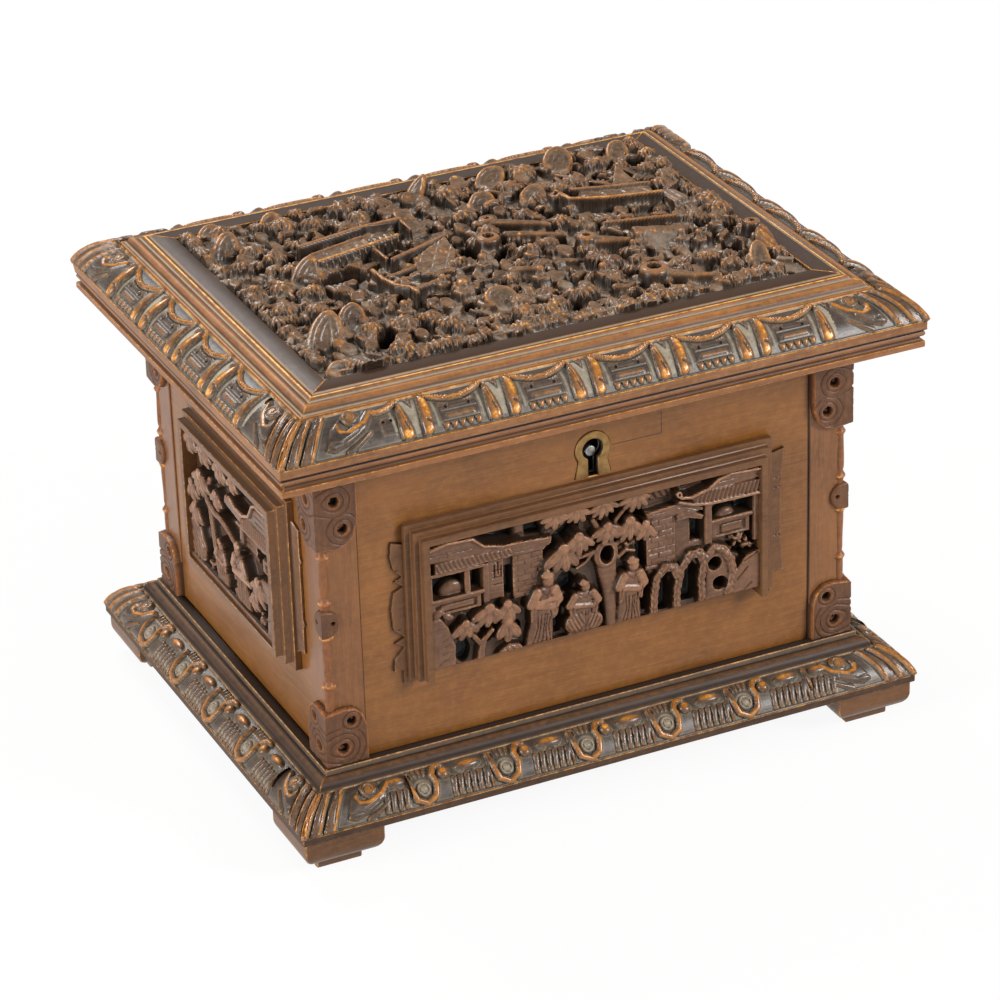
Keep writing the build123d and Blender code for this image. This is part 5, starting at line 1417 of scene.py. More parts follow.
def side_garden(r):
    """A narrower scene: hanging leaves, a swept eave, a bowed branch and people below."""
    r.brick([(18, 92), (36, 92), (36, 103), (18, 103)], 5.2, 5.4, 2.1)
    r.stand(box(24, 51, 90, 101), 4.6, .6)
    pierced(r, plate((-27, 103), (-25, 107), (-14, 112), (-4, 112.6), (-6, 108), (-14, 105)),
            plate((-1, 96), (2, 104), (8, 106), (16, 105.6), (16, 96)), box(33, 51, 97.4, 102),
            plate((-8, 94), (-8, 97), (0, 98), (0, 94.4)), plate((-1, 84), (-1, 91.4), (6, 92.4), (14, 90.4),
            (11, 82)), plate((-21, 70), (-21, 94), (-13, 94.6), (-11, 82), (-15, 70)),
            plate((24, 70.6), (27, 79), (40, 79), (40, 74), (30, 71)), plate((8, 112), (12, 119.6), (33, 119.6),
            (31, 113), (20, 110.4)), box(29, 36, 86, 97), plate((-29, 92), (-27, 96), (-14, 98), (-13, 93)))
    r.stand(plate((13, 109.6), (25, 108), (31, 110.4), (34.6, 116), (38, 118), (51, 118.4), (51, 108), (22, 106.4)),
            7.6, .7)
    for level in (110.2, 112.6, 115):
        r.score([(35, level), (50, level + .3)])
    r.stand(stem([(12.6, 110.2), (18, 108.4), (25, 108.2), (31, 110.8), (34.6, 116.2), (38, 118), (51, 118.4)], .85,
            .7), 8.9, .6)
    r.roof([(21, 102.6), (50.6, 102.4), (50.6, 107.8), (30, 108.2), (22.6, 106)], 8.3, 1.8, .35)
    r.stand(plate((4.4, 104.4), (20, 102.6), (22, 107), (5.6, 108.2)), 7.6, .8)
    r.stand(stem([(16, 101.4), (51, 101.6)], .8), 7.6, .5)
    r.stand(box(16.6, 19.4, 91, 102), 6.8, .8)
    r.stand(stem([(-14, 97), (-6, 94.6), (0, 94.8), (8, 93), (14, 90.6)], 1.4, 1), 7.8, 1.1)
    r.stand(stem([(-6.4, 67), (-9.6, 78), (-12, 88), (-14, 97), (-12, 106)], 1.8, 1.2), 7, 1.4)
    r.stand(plate((36, 88), (50.6, 90), (50.6, 66), (40, 66), (42, 80)), 7.6, 1.4, 1.2)
    for line in (((44, 84), (48, 86)), ((43, 74), (47.6, 77)), ((45, 69), (49, 71))):
        r.score(line, .3, .7)
    r.stand(box(37, 50.8, 91, 96.4), 6.4, .4)
    r.sink(box(39, 49.4, 92, 95), 5, .3)
    r.sprays(8.7, (-26, 119, 8.4, 205, 330, 4), (-13, 118.6, 7.6, 192, 345, 6), (2.4, 119, 8.6, 205, 335, 5),
            (-18, 106, 9.6, 196, 340, 6), (-2.4, 105, 6.8, 205, 330, 4), (-27, 99, 7.8, 230, 330, 4),
            (-25, 90, 8, 205, 330, 4), (35, 86, 9.4, 200, 335, 6), (30.6, 78.6, 6.6, 210, 320, 4),
            (14.6, 118.6, 6.4, 210, 330, 4))
    r.stand(plate((-33, 66), (-21, 66), (-20, 74), (-24, 82), (-33, 84)), 7.4, 2.4, 2, cut=hatched(3.4, .7, .5))
    r.person(-2, 68, 18.6, 8.3, .05, 1, 1.25)
    r.person(18.4, 68.4, 25.4, 8.5, -.06, -1, 1.1)
    r.stand(plate((11, 81.4), (29, 83), (30, 80.6), (12, 79.6)), 8.9, .9)
    r.stand(plate((-33, 66), (51, 66), (51, 68.2), (-33, 68.2)), 8, .5)
    for a, b in ((-14, 70), (10, 70.6), (33, 70.4)):
        r.tuft(a, b, 2.8, 12, 7.4, .8)


def back_garden(r):
    """A long scene like the front's, with pavilions at both ends and a grove between."""
    for hand in (-1, 1):
        def half(*spots):
            return [(hand * a, b) for a, b in spots]

        def block(a0, a1, b0, b1):
            return box(*sorted((hand * a0, hand * a1)), b0, b1)
        r.brick(half((16, 22), (36, 22), (36, 45), (16, 45)), 5.6, 5.4, 2.1)
        r.stand(plate(*half((15, 44), (38, 45), (38, 48.6), (15, 47.6))), 6.8, .5)
        pierced(r, disc(hand * 46, 34.6, 5.8, 5), block(52.6, 60.4, 31, 40), block(30, 34, 22, 34),
                plate(*half((2, 28), (13, 30), (12, 44), (3, 46))), block(6, 11, 3, 16), block(29.6, 33, 3, 15),
                block(51, 55, 4, 15))
        r.stand(plate(*half((30, 46), (40, 44.4), (47, 48), (52, 51.6), (66, 51.8), (66, 45), (40, 43))), 7.6, .6)
        r.stand(stem(half((30, 46.6), (40, 44.6), (47, 48), (52, 51.6), (66, 51.8)), .8), 8.8, .6)
        r.roof(half((38, 41.6), (65, 41.2), (65, 46), (44, 46.4)), 8.2, 1.75, hand * .4)
        r.stand(stem(half((38, 40.6), (65.5, 40.4)), .7), 8, .5)
        for x in (39.6, 51.4, 63.4):
            r.stand(block(x - 1.2, x + 1.2, 22, 41), 6.8, .8)
        balustrade(r, *sorted((hand * 40, hand * 64)), 22.6, 29.6, 7)
        r.stand(stem(half((13, 2), (11, 14), (6, 26), (12, 38)), 2, 1.2), 7.2, 1.6)
        r.stand(stem(half((7, 24), (0, 34), (-3, 42)), 1.4, 1), 7, 1.2)
        for a, b, size, count in ((4.4, 53, 7.4, 6), (15, 53, 7.4, 5), (25, 52.6, 6.8, 5), (10, 43, 8.2, 5),
                (21, 42, 7, 5), (1, 41, 6, 4)):
            r.spray(hand * a, b, size, 200 + (a % 7), 340 - (b % 5), count, 8.7)
        r.person(hand * 22.6, 2.6, 26, 8.4, hand * .05, -hand, .94)
        r.person(hand * 43.4, 2.6, 21, 8.3, 0, hand, 1.2)
        r.stand(plate(*half((66, 0), (56, 0), (55.6, 10), (60, 20), (66, 22))), 7.6, 1.4, 1)
        r.score(half((58, 6), (63, 10)), .35, .8)
        r.spray(hand * 35.6, 18, 9, 205, 335, 6, 8.5)
        for a in (34, 53):
            r.tuft(hand * a, 5, 3, 14, 7.4, .8)
    r.person(0, 2.6, 24, 8.4, 0, 1, 1.05)
    r.stand(box(-66, 66, -.5, 2.4), 8, .5)


SIDE_OPENING = 80
wall_panel("front", FRONT_OPENING, 0, 60.5, front_garden, 11, (.8, 62))
wall_panel("left", SIDE_OPENING, 7, 66.5, side_garden, 12, (9, 66.5))
wall_panel("right", SIDE_OPENING, -7, 66.5, side_garden, 13, (9, 66.5))
wall_panel("back", FRONT_OPENING, 0, 66.5, back_garden, 14, (0, 0))


BRACKET_ALONG, BRACKET_UP = (72.2, 79.45, 30), (57, 116, 220)
BRACKET_GROUND, BRACKET_BACK, BRACKET_CELL = -.75, -1.3, .26


def bracket(hand):
    """The thin cusped plate beside the front frame, with the notches cut in it."""
    a, b = np.linspace(*BRACKET_ALONG)[:, None], np.linspace(*BRACKET_UP)[None, :]
    relief = Relief(a, b, BRACKET_GROUND, 31)
    if hand < 0:
        outline = [(70, 112.4), (77.3, 114.6), (77.8, 108.8), (76.8, 104), (73.6, 100.4), (76.6, 99), (73.2, 96.6),
                (77, 94.9), (78.2, 88), (77.6, 80.2), (73.4, 76.4), (77.2, 74.8), (73.6, 72.6), (77.5, 68.2),
                (77.9, 63.6), (74.4, 63.4), (74.4, 58), (70, 58)]
    else:
        outline = [(70, 112.8), (78.6, 114.6), (77.6, 103), (76.4, 102.6), (77.4, 101.4), (77.2, 80.4),
                (76.2, 79.8), (77.2, 79), (78.4, 64.8), (70, 65.6)]
    relief.stand(plate(*outline), .55, .3, .25)
    for level in (103, 99, 79.6):
        relief.score([(74.6, level), (76.8, level + .3)], .35, .5)
    marks = relief.finish(BRACKET_CELL, NO_FLOOR, grain=.02, soft=0)
    front = on_side("front", hand * relief.a, relief.h, relief.b)
    behind = on_side("front", hand * relief.a[:, ENDS], np.full((len(a), 2), BRACKET_BACK), relief.b[:, ENDS])
    shell = Shell()
    shell.carve(front[::hand], behind[::hand], marks[::hand])
    name = f"front_bracket_{'left' if hand < 0 else 'right'}"
    return piece(name, shell.mesh(name, frame_wood, 40, out=(0, -1, 0)), "case", "moulding_wood")


bracket(-1)
bracket(1)

LID_WIDE, LID_LONG, LID_CELL = 189, 138, .34
LID_FLOOR, LID_BACK, LID_TOP = 171, 169.4, 184.2
LID_GROUND, LID_VOID, LID_SLOPE = 5, .6, 6


def opening(rng, a, b, wide, high):
    """The ragged outline of a hole between the forms."""
    spots = [(rng.uniform(.6, 1.25), way) for way in np.arange(0, 6, .75)]
    return plate(*[(a + far * wide * cos(way), b + far * high * sin(way)) for far, way in spots])


def rim_of(outline, a_top, b_top, reach):
    """A narrow band just inside an outline, as far as the hand rubs it round its top."""
    a0, a1, b0, b1, inside = outline

    def band(a, b):
        return np.minimum(.8 - np.abs(inside(a, b) - .8), .12 * (reach - np.hypot(a - a_top, b - b_top)))
    return a0, a1, b0, b1, band


def undergrowth(r):
    """Leaves, clumps and stones that fill the ground between the larger forms."""
    rng = np.random.default_rng(5)
    for a in np.arange(-91, 92, 6.4):
        for b in np.arange(-66, 67, 6.4):
            p, q = a + rng.uniform(-2.6, 2.6), b + rng.uniform(-2.6, 2.6)
            kind, top, turn = rng.uniform(), rng.uniform(6.8, 9.8), rng.uniform(0, 360)
            if kind < .16:
                r.clump(p, q, rng.uniform(2.6, 3.6), top + .4, .15)
            elif kind < .44:
                r.fan(p, q, rng.uniform(4.6, 6.6), turn, turn + 150, 6, top + .2)
            elif kind < .74:
                way = np.radians(turn + np.arange(0, 360, 60))
                size = rng.uniform(2.8, 4.6) * rng.uniform(.7, 1.2, 6)
                spots = [(p + s * cos(w), q + .8 * s * sin(w)) for s, w in zip(size, way)]
                r.ramp(spots, (p + 1, q - 2, top - 1.6), (p - 1, q + 2, top + .6), 1.2, 1, r.layers(1.5, .35))
            else:
                w = radians(turn)
                r.roll([(p, q), (p + 4 * cos(w), q + 4 * sin(w)), (p + 7 * cos(w + .5), q + 7 * sin(w + .5))], 1.7,
                        .9, top)
    # Small openings, painted black as shade by their depth
    for _ in range(100):
        r.sink(opening(rng, rng.uniform(-92, 92), rng.uniform(-67, 67), rng.uniform(1.4, 3.4),
                rng.uniform(1.2, 2.8)), .8, .9)


def rail(r, points, top, rub=.7, wide=1, ends=0):
    """A thin rail on its edge, its top rubbed, with the gouged wall under it."""
    r.stand(stem(points, wide), top, .5, .4, fall=11)
    r.mark(0, stem(points, wide * .8), rub, .3)
    for (a0, b0), (a1, b1) in zip(points, points[1:]):
        for share in np.arange(.1, 1, .17) if ends else ():
            a, b = a0 + share * (a1 - a0), b0 + share * (b1 - b0)
            r.stand(stem([(a, b), (a + .4, b - ends)], .5), top - 1.6, .5, fall=11)


def lid_person(r, a, b, top, size):
    """A small robed figure seen from above, leaning back."""
    def at(da, db):
        return a + da * size, b + db * size
    r.ramp([at(-2.2, -2.4), at(2, -2.8), at(2.4, 1.4), at(.4, 3), at(-2.2, 1.8)], (*at(0, -2.6), top - 4.2),
            (*at(0, 2.6), top - .2), 1.4, 1.3, hatched(1.3, .3, .5))
    for hand in (-1, 1):
        sleeve = [at(hand * 2.1, 1.2), at(hand * 1.4, -.8), (a + .2, b - .9 * size)]
        r.stand(stem(sleeve, .7 * size, .6 * size), top - 1.4, .6)
    r.stand(disc(*at(.5, 3), 1.5 * size, 1.7 * size), top + .7, 1.4, 1.4, fall=9)
    r.mark(0, disc(*at(.5, 2.6), 1.2 * size), .8, .6)


def lid_garden(r):
    """The lid's scene from above: pavilion, boat, awning, people, shells, scrolls and leaves."""
    undergrowth(r)
    # Openings, painted black as shade by their depth
    for spot in ((-83, 10, 3.4, 5), (-7, 3, 4.6, 6), (-63, -49, 4.4, 4.6), (-51, 24.5, 9.5, 2.6), (-54, 5, 9, 4.6),
            (20, 53, 3.4, 4), (-3, 38, 4.4, 4), (28, 30, 4.6, 6.5), (23, -29, 4.4, 7), (79, -37, 4.4, 6),
            (84, 49, 4.4, 4), (86, 12, 4, 4), (30, -61, 3.2, 3), (62, 24, 9, 2), (3, -7, 3.6, 4.6),
            (66, 3, 8.4, 3.6), (12, 32, 4, 4), (-15, -46, 3.4, 3.4), (-45, 43, 4, 3.6), (-91, -12, 3, 4),
            (40, 45, 3.6, 3), (14, -15, 3.6, 3), (-34, 12, 5, 3), (88, -20, 3, 4), (-70, -16, 4, 3)):
        r.sink(opening(r.rng, *spot), .6, 1)
    # Dusty flats
    for corners, level in (([(-62, -9), (-48, -6), (-47, -22), (-60, -26)], 5.2),
            ([(-41, -27), (-29, -23), (-29, -36), (-40, -39)], 5.2), ([(-47, 36), (-30, 40), (-24, 50), (-42, 52)],
            5), ([(-60, 33), (-50, 36), (-54, 46), (-64, 42)], 5.4), ([(22, -18), (40, -22), (38, -34), (20, -32)],
            4.6), ([(28, 40), (44, 36), (46, 48), (30, 52)], 4.8)):
        r.stand(plate(*corners), level, .8, cut=hatched(3.6, .3, .25))
    # Rocks and shells that lean back from the front
    for corners, low, high, ring in (([(-92, 40), (-89.5, 48), (-84, 54.5), (-79, 54.5), (-77.5, 50), (-80, 42),
            (-84, 35), (-90, 33)], (-88, 35, 3.6), (-80, 54, 12.6), 2.4),
            ([(-75.5, 9), (-70, 16.5), (-63, 20), (-60, 17.5), (-61, 9), (-65, 1), (-71, -1), (-75.5, 3)],
            (-70, 1, 4), (-62, 18, 12.4), 2.2), ([(-92, -45), (-86, -34), (-79, -28), (-73.6, -28.5), (-73, -36),
            (-77, -46), (-82, -54), (-90, -56)], (-86, -54, 3.4), (-76, -29, 12.8), 2.4),
            ([(-74, -31), (-70, -24.5), (-64, -23), (-61.5, -28), (-63.5, -36), (-69, -40), (-74, -37)],
            (-70, -39, 4.6), (-65, -24, 11.6), 1.9), ([(-10, 55), (-4, 64.5), (4, 68), (6, 66), (1, 58), (-5, 51),
            (-10, 51)], (-8, 53, 4.6), (4, 67, 12.8), 2),
            ([(50, 60), (55, 67), (62, 67.5), (65, 62), (62, 55.5), (54, 54.5)], (57, 55, 6), (58, 66, 12.6), 1.9),
            ([(-66, 60), (-62, 67), (-55, 67), (-56, 60)], (-61, 60, 6), (-60, 67, 11), 1.8),
            ([(-90, 58), (-88, 66), (-80, 68), (-78, 61)], (-85, 58, 6), (-84, 67, 11), 1.8),
            ([(76, 56), (80, 66), (88, 66), (88, 57)], (82, 56, 6), (83, 66, 11.4), 2),
            ([(9, 40), (15, 47), (23, 44), (21, 37), (13, 35)], (15, 36, 5.6), (17, 46, 11.2), 1.8),
            ([(20, 58), (27, 66), (37, 64), (34, 56), (25, 54)], (27, 55, 5.6), (29, 65, 11.4), 1.8),
            ([(-22, -38), (-14, -33), (-7, -38), (-9, -46), (-17, -49)], (-15, -48, 5.4), (-14, -34, 11.4), 1.8),
            ([(30, 40), (38, 44), (43, 40), (40, 34), (32, 34)], (36, 34, 6), (37, 43, 10.8), 1.7),
            ([(-92, -62), (-88, -58), (-82, -59), (-82, -66), (-91, -67.5)], (-87, -67, 3.6), (-86, -58, 8.6), 1.9),
            ([(77, -55), (82, -45), (88, -46), (86, -58), (80, -62)], (81, -61, 4.6), (84, -46, 11.8), 2)):
        r.ramp(corners, low, high, 1.8, 1.5, r.layers(ring, .5))
        r.mark(0, rim_of(plate(*rounded(corners)), *high[:2], 13), .9, .55)
        # Their faces are darkened a little through the painted-shade mark
        r.mark(2, plate(*rounded(corners)), .34, 3.2)
    for spot in ((-80, -47, 3.2, 2.4), (-76.4, -31, 2.4, 1.6), (-84, 51, 3.2, 1.8), (-62.6, 16, 1.6, 3),
            (-6, 57, 1.4, 2.4)):
        r.mark(0, disc(*spot, 40), .8, 1)
    # Pavilion: rails, bench, plank and screen
    r.stand(plate((-61, 14), (-37.5, 20), (-38.5, 26.5), (-61, 20.5)), 10.4, .5, fall=11, cut=hatched(6, -.2, .35))
    r.stand(plate((-36, 21), (-26, 23), (-25, 33), (-35, 32)), 8.8, .5, fall=11, cut=hatched(2.4, 0, .4))
    rail(r, [(-62, 28.6), (-36, 34.2), (-20, 34.6)], 12, .75, 1.1)
    rail(r, [(-61, 12.4), (-44, 16.2), (-27, 20.2)], 12.3, 1, 1.1, 1.4)
    rail(r, [(-61.4, 20.8), (-38.6, 27.2)], 11.4, .6, .8)
    rail(r, [(-38.4, 25), (-38, 5)], 11, .5, .9)
    rail(r, [(-37, 2.4), (-24, 7.4), (-12, 12.4)], 11.9, .5, 1)
    rail(r, [(-47.4, -3), (-47, -12), (-45.4, -19), (-41.4, -23.6), (-41, -28)], 11.9, 1, 1)
    rail(r, [(-41, -24.4), (-25, -19.6)], 11.2, .4, 1)
    rail(r, [(-43, -7), (-31, -3.4)], 9.8, .6, .8)
    rail(r, [(-43, -11), (-32, -8)], 8.8, .4, .8)
    r.ramp([(-19.5, 42), (-13.6, 41), (-12, 27), (-20, 24.5)], (-15.6, 25, 6.4), (-16.4, 42, 12.6), .5,
            cut=hatched(5.4, .1, .3))
    rail(r, [(-19.6, 41), (-20, 25)], 11.4, .6, .7)
    r.ramp([(-29, 3.4), (-12.6, 10.6), (-12, 2.6), (-16, -5), (-30, -7)], (-21, -7, 5.8), (-21, 7, 11.2), .5,
            cut=crossed(5.6, .7, .4, 9))
    # Boat and awning
    r.stand(plate((47, 23.4), (75, 13.6), (75.6, 19.4), (50, 27)), 10.3, .5, fall=11, cut=hatched(7, .3, .35))
    rail(r, [(48, 28.4), (56, 25.6), (75.6, 20.6)], 11.8, .6, 1)
    rail(r, [(41, 28), (42.6, 19.6), (55, 14), (75, 9.4)], 12.4, 1, 1.15, 1.2)
    rail(r, [(46, -4.6), (58, -7.6), (71, -11)], 11.4, .5, 1)
    rail(r, [(45, -8), (47, -13)], 10.4, .3, 1)
    r.stand(plate((42, 16), (55, 11), (56, 4), (46, 6)), 7.6, .8, fall=9, cut=hatched(2.2, .4, .4))
    r.ramp([(72, 41), (65.6, 31), (77, 28.4)], (70, 29, 7), (72, 41, 12.4), .5, cut=hatched(3, .6, .35))
    r.stand(plate((75.6, 15), (82, 12), (83.6, 3), (76.4, 1)), 10.8, .6, fall=9, cut=hatched(2.6, .1, .4))
    # Awning and people on the right
    r.ramp([(51, -13.4), (69, -18), (68, -33), (50, -28)], (59, -32, 4.6), (60, -15, 11.4), .5,
            cut=crossed(8, 1, .3, 12))
    r.mark(1, plate((53, -17), (66, -20), (65, -30), (53, -26)), .6, 2)
    for a, b, size in ((49.6, -24, 1.1), (64.6, -29, 1), (69.6, -32.6, 1), (44.6, -29, .9), (-8.6, -15, 1.2),
            (10.4, -15, 1.1), (-24.6, -33, 1.5), (4.6, -35, 1.3), (-28.6, -24, 1), (25.6, -43, 1.1),
            (-50, -38, 1.1), (81, -23, 1)):
        lid_person(r, a, b, 11.8, size)
    # Scrolls
    for a, b, size, hole, top in ((33, -13, 3.8, 1.3, 12.2), (41.4, -50, 5.4, 2.5, 12.3), (91.6, -30, 3.2, 1.2, 12),
            (1.6, 4, 4.6, 2, 12), (40.6, 27, 2.8, 1, 11.8), (8, 19, 3, 1.1, 12)):
        r.curl(a, b, size, hole, top)
        r.mark(0, disc(a, b, size * .9), .6, .8)
    r.roll([(36, -14.4), (41, -17), (47.6, -20)], 3, .8, 11.2)
    r.roll([(46, -53), (52, -58.6), (61, -63)], 2.6, .9, 11)
    r.roll([(4, 19), (12, 16), (22, 10), (27, 6)], 2, 1.2, 11.4)
    r.roll([(-2, -24), (5, -27), (12, -23)], 2, 1.2, 11)
    r.roll([(10, 6), (18, 2), (28, -4)], 2, 1, 10.8)
    r.ramp([(88.6, -37), (94, -35), (94.2, -47), (92, -55), (87, -53), (86, -44)], (90.6, -54, 4.6),
            (92, -36, 12.8), 1.2, 1, hatched(2.6, .35, .8))
    r.mark(0, plate((89.4, -38), (93.4, -36), (93.6, -47), (91, -52), (88.4, -46)), .8, 1.2)
    # Leaf clumps
    for a, b, size, rub in ((-77, 37.5, 3.8, .5), (-79.5, 3, 4.4, .7), (-89, 4.5, 3.4, .1), (-86, -13.5, 4.2, .1),
            (-57.5, 55, 4.4, .5), (-47, 51, 4.2, .1), (8, 53.6, 4.4, .6), (4, 30, 4, .3), (6, 13, 3.4, .2),
            (91, 39, 3.4, .2), (88, 29, 4, .1), (91, 1, 3.8, .5), (90.5, -8, 3.6, .6), (78.5, -12, 4, .1),
            (33.5, 8.5, 3.8, .6), (82, 22, 3.6, .1), (41.5, 58, 4.2, .6), (69.5, 52, 4.4, .2), (31, 47, 4, .1),
            (-54, -44, 4.2, .3), (-44.6, -46, 3.8, .7), (-39, -53, 4, .6), (-66, -44, 3.4, .5), (-62, -62, 4.2, .4),
            (-71, -5, 3.6, .6), (-72, 30, 3.8, .2), (90.6, 51, 3, .7), (-24, -27.4, 3.6, .6), (65, -47, 3.6, .5),
            (-13, -56, 3.6, .6), (-85, 26, 3, .1), (-33, 60, 4, .2), (20, -8, 3.4, .2), (55, 40, 4.2, .1),
            (47, 36, 3.6, .1), (-5, -60, 3.4, .6), (14, -52, 3.8, .2), (84, 38, 3.2, .2), (-76, -20, 3.6, .1),
            (70, -55, 4, .4), (33, -33, 3.2, .1), (24, 20, 3.4, .2), (-20, 56, 4, .1), (-30, 48, 3.4, .1)):
        r.clump(a, b, size * .95, 11.4, rub)
    for a in np.arange(-78, 80, 6.8):
        r.clump(a, -64 + 1.8 * sin(a), 3.4, 8.2 + 1.6 * sin(a * 1.7), .35)
        r.fan(a + 3.4, -66.8, 5.4, 20, 160, 6, 7.6)
    for b in np.arange(-54, 66, 7):
        r.clump(-91.4, b, 2.7, 8.4 + 1.4 * sin(b), .1)
        r.clump(91.6, b + 3, 2.7, 8.6 + 1.4 * sin(b), .25)
    for a in np.arange(-72, 92, 8):
        r.clump(a, 65.2, 2.7, 8.6 + 1.4 * sin(a), .15)


def lid_top():
    """The lid's carving as three pieces side by side."""
    a, b = grid(LID_WIDE, LID_LONG, LID_CELL)
    relief = Relief(a, b - LID_LONG / 2, LID_GROUND, 21, LID_SLOPE, LID_VOID)
    lid_garden(relief)
    relief.h = np.minimum(relief.h, LID_TOP - LID_FLOOR)
    marks = relief.finish(LID_CELL, LID_VOID, 4.4, grain=.08, soft=.4, settle=(4.6, 7.4), wear=.5)
    x, y = relief.a, relief.b
    front = np.stack([x, y, LID_FLOOR + relief.h], -1)
    behind = np.stack([x, y, LID_BACK + 0 * x], -1)[:, ENDS]
    third = len(x) // 3
    for place, rows in (("left", slice(0, third + 1)), ("middle", slice(third, 2 * third + 1)),
                        ("right", slice(2 * third, None))):
        shell = Shell()
        shell.carve(front[rows], behind[rows], marks[rows])
        mesh = shell.mesh(f"lid_garden_{place}", lid_carving_wood, 62, out=(0, 0, 1))
        piece(f"lid_garden_{place}", mesh, "lid", "carved_wood", *(["lid_carving"] if place == "left" else []))


lid_top()


# --- Velvet lining pads ---


# Points along and up a pad, how much its sides are drawn in, and the width of its rounded rim
PAD_ALONG, PAD_UP, PAD_PULL, PAD_RIM = 61, 45, 0.006, 4.0


def lining(name, node, body, along, up, out, swell):
    """A thin velvet pad in the room of its CAD solid, flat behind and crowned in front."""
    low, high = (np.array(v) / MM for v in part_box(node))
    axes = [np.array(v, float) for v in (along, up, out)]
    spans = [abs(axis @ (high - low)) for axis in axes]
    middle = (low + high) / 2
    a, b = np.linspace(-0.5, 0.5, PAD_ALONG)[:, None], np.linspace(-0.5, 0.5, PAD_UP)[None, :]
    pull = 1 - PAD_PULL * (1 - (2 * b) ** 2), 1 - PAD_PULL * (1 - (2 * a) ** 2)
    rim_a = np.clip((0.5 - np.abs(a)) * spans[0] / PAD_RIM, 0, 1)
    rim_b = np.clip((0.5 - np.abs(b)) * spans[1] / PAD_RIM, 0, 1)
    round_over = np.sqrt(1 - (1 - np.minimum(rim_a, rim_b)) ** 2)
    crown = (1 - (2 * a) ** 4) * (1 - (2 * b) ** 4)
    ripple = 0.04 * np.sin(a * spans[0] * 0.35 + 2 * np.sin(b * 9)) * np.sin(b * spans[1] * 0.3)
    thick = spans[2] * (0.42 + 0.42 * round_over * (1 - swell) + 0.16 * crown * round_over + ripple * round_over
                        + 0.42 * swell * crown * round_over)
    thick = np.minimum(thick, spans[2])

    def place(p, q, h):
        return (middle + p[..., None] * spans[0] * axes[0] + q[..., None] * spans[1] * axes[1]
                + (h - spans[2] / 2)[..., None] * axes[2])
    p, q = np.broadcast_arrays(a * pull[0], b * pull[1])
    front = place(p, q, thick)
    behind = place(p[:, ENDS], q[:, ENDS], np.zeros((len(a), 2)))
    shell = Shell()
    shell.loft(np.concatenate([front, behind], 1))
    pad = piece(name, shell.mesh(name, lining_velvet, 60.0), body, "lining_cloth", node)


lining("floor_cushion", "floor_pad", "case", (1, 0, 0), (0, 1, 0), (0, 0, 1), 0.6)
lining("lid_cushion", "lid_lining", "lid", (1, 0, 0), (0, -1, 0), (0, 0, -1), 0.5)
lining("front_lining_pad", "lining_front", "case", (-1, 0, 0), (0, 0, 1), (0, 1, 0), 0.3)
lining("back_lining_pad", "lining_back", "case", (1, 0, 0), (0, 0, 1), (0, -1, 0), 0.3)
lining("left_lining_pad", "lining_left", "case", (0, 1, 0), (0, 0, 1), (1, 0, 0), 0.3)
lining("right_lining_pad", "lining_right", "case", (0, -1, 0), (0, 0, 1), (-1, 0, 0), 0.3)


# --- Floor, light and camera ---


RAYS = "Is Camera Ray", "Is Glossy Ray"
FLOOR = 6.0
# Each lamp: its place in metres, its width and its watts
LAMPS = {
    "key_light": ((1.2, -1.3, 0.95), 0.7, 36.0),
    "left_light": ((-1.7, -0.3, 0.62), 0.9, 30.0),
    "back_light": ((-0.2, 1.3, 1.5), 0.7, 22.0),
}
LAMP_AIM = Vector((0, 0, 0.1))
# The photograph's camera, in millimetres and degrees
LENS, SENSOR = 145.84, 36.0
CAMERA_PLACE, CAMERA_LOOK, CAMERA_ROLL = (-561.35, -1223.63, 767.43), (0.3717, 0.8085, -0.4563), -1.83


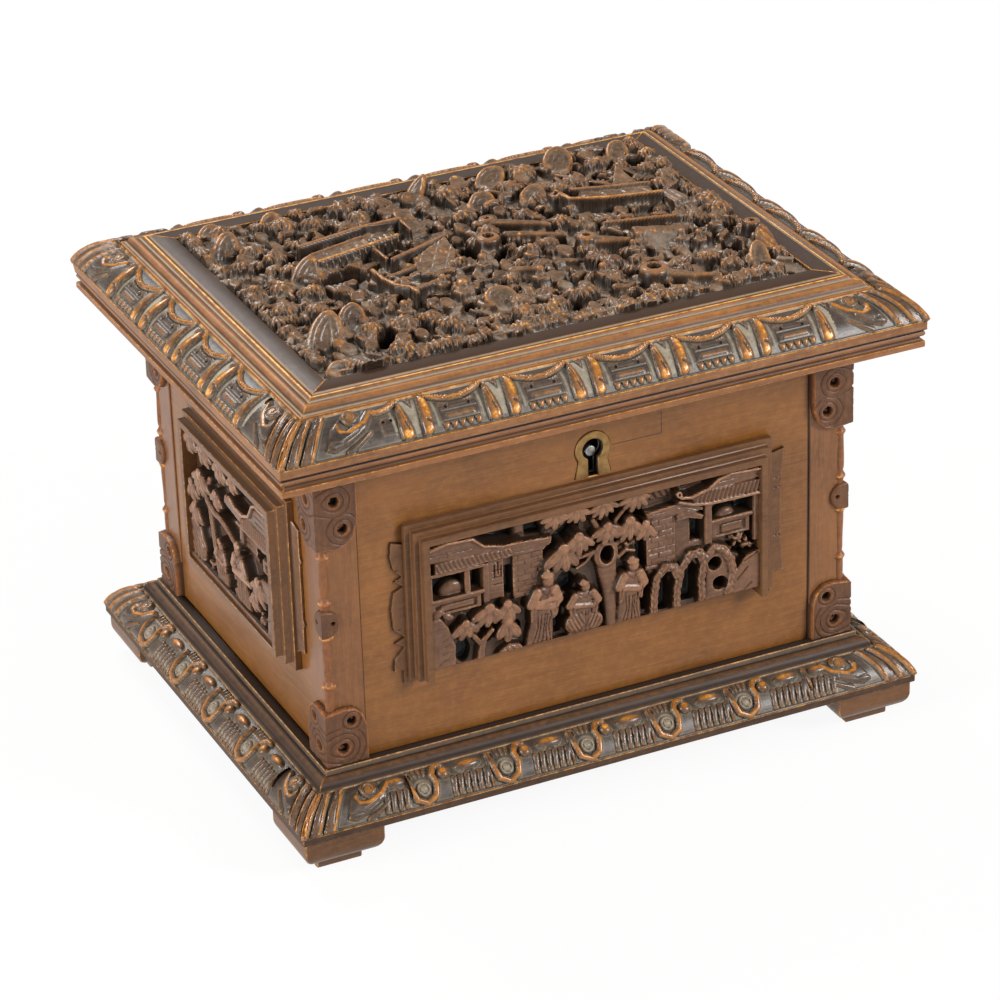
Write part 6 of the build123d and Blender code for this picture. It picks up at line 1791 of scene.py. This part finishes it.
def studio():
    """A pale floor and surround, three lamps, and the photograph's camera."""
    scene = bpy.context.scene
    scene.view_settings.view_transform = "Standard"
    cloth = Finish("studio_floor")
    camera_ray, glossy_ray = (cloth.add("LightPath", {}, {}, name) for name in RAYS)
    pale = cloth.mix(tone(236, 235, 233), tone(242, 241, 239), cloth.noise(cloth.join(*cloth.places()), 0.004))
    flat = cloth.add("BsdfDiffuse", {}, {"Color": pale})
    glow = cloth.add("Emission", {}, {"Color": (1, 1, 1, 1), "Strength": 1.0})
    shader = cloth.add("MixShader", {}, {0: (camera_ray * 0.92).most(glossy_ray * 0.8), 1: flat, 2: glow})
    cloth.add("OutputMaterial", {}, {"Surface": shader})
    mesh = bpy.data.meshes.new("studio_floor")
    corners = [(-FLOOR, -FLOOR, 0), (FLOOR, -FLOOR, 0), (FLOOR, FLOOR, 0), (-FLOOR, FLOOR, 0)]
    mesh.from_pydata(corners, [], [(0, 1, 2, 3)])
    mesh.materials.append(cloth.made)
    floor = bpy.data.objects.new("studio_floor", mesh)
    scene.collection.objects.link(floor)

    air = Finish("studio_world", bpy.data.worlds)
    camera_ray, glossy_ray = (air.add("LightPath", {}, {}, name) for name in RAYS)
    level = air.add("MapRange", {}, {"Value": glossy_ray * 0.4 + camera_ray, "To Min": 0.36, "To Max": 1.0})
    air.add("OutputWorld", {}, {"Surface": air.add("Background", {}, {"Strength": level})})
    scene.world = air.made

    for name, (spot, size, watts) in LAMPS.items():
        lamp = bpy.data.lights.new(name, "AREA")
        lamp.shape, lamp.size, lamp.energy = "DISK", size, watts
        holder = bpy.data.objects.new(name, lamp)
        holder.location = spot
        holder.rotation_euler = (LAMP_AIM - Vector(spot)).to_track_quat("-Z", "Y").to_euler()
        scene.collection.objects.link(holder)

    lens = bpy.data.cameras.new("photo_camera")
    lens.lens, lens.sensor_width = LENS, SENSOR
    lens.clip_start, lens.clip_end = 0.05, 50.0
    look = Vector(CAMERA_LOOK).normalized()
    right = look.cross(Vector((0, 0, 1))).normalized()
    up = right.cross(look)
    roll = radians(CAMERA_ROLL)
    across, upward = cos(roll) * right + sin(roll) * up, cos(roll) * up - sin(roll) * right
    camera = bpy.data.objects.new("photo_camera", lens)
    turned = Matrix((across, upward, -look)).transposed().to_4x4()
    camera.matrix_world = Matrix.Translation(Vector(CAMERA_PLACE) * MM) @ turned
    scene.collection.objects.link(camera)
    scene.camera = camera


studio()
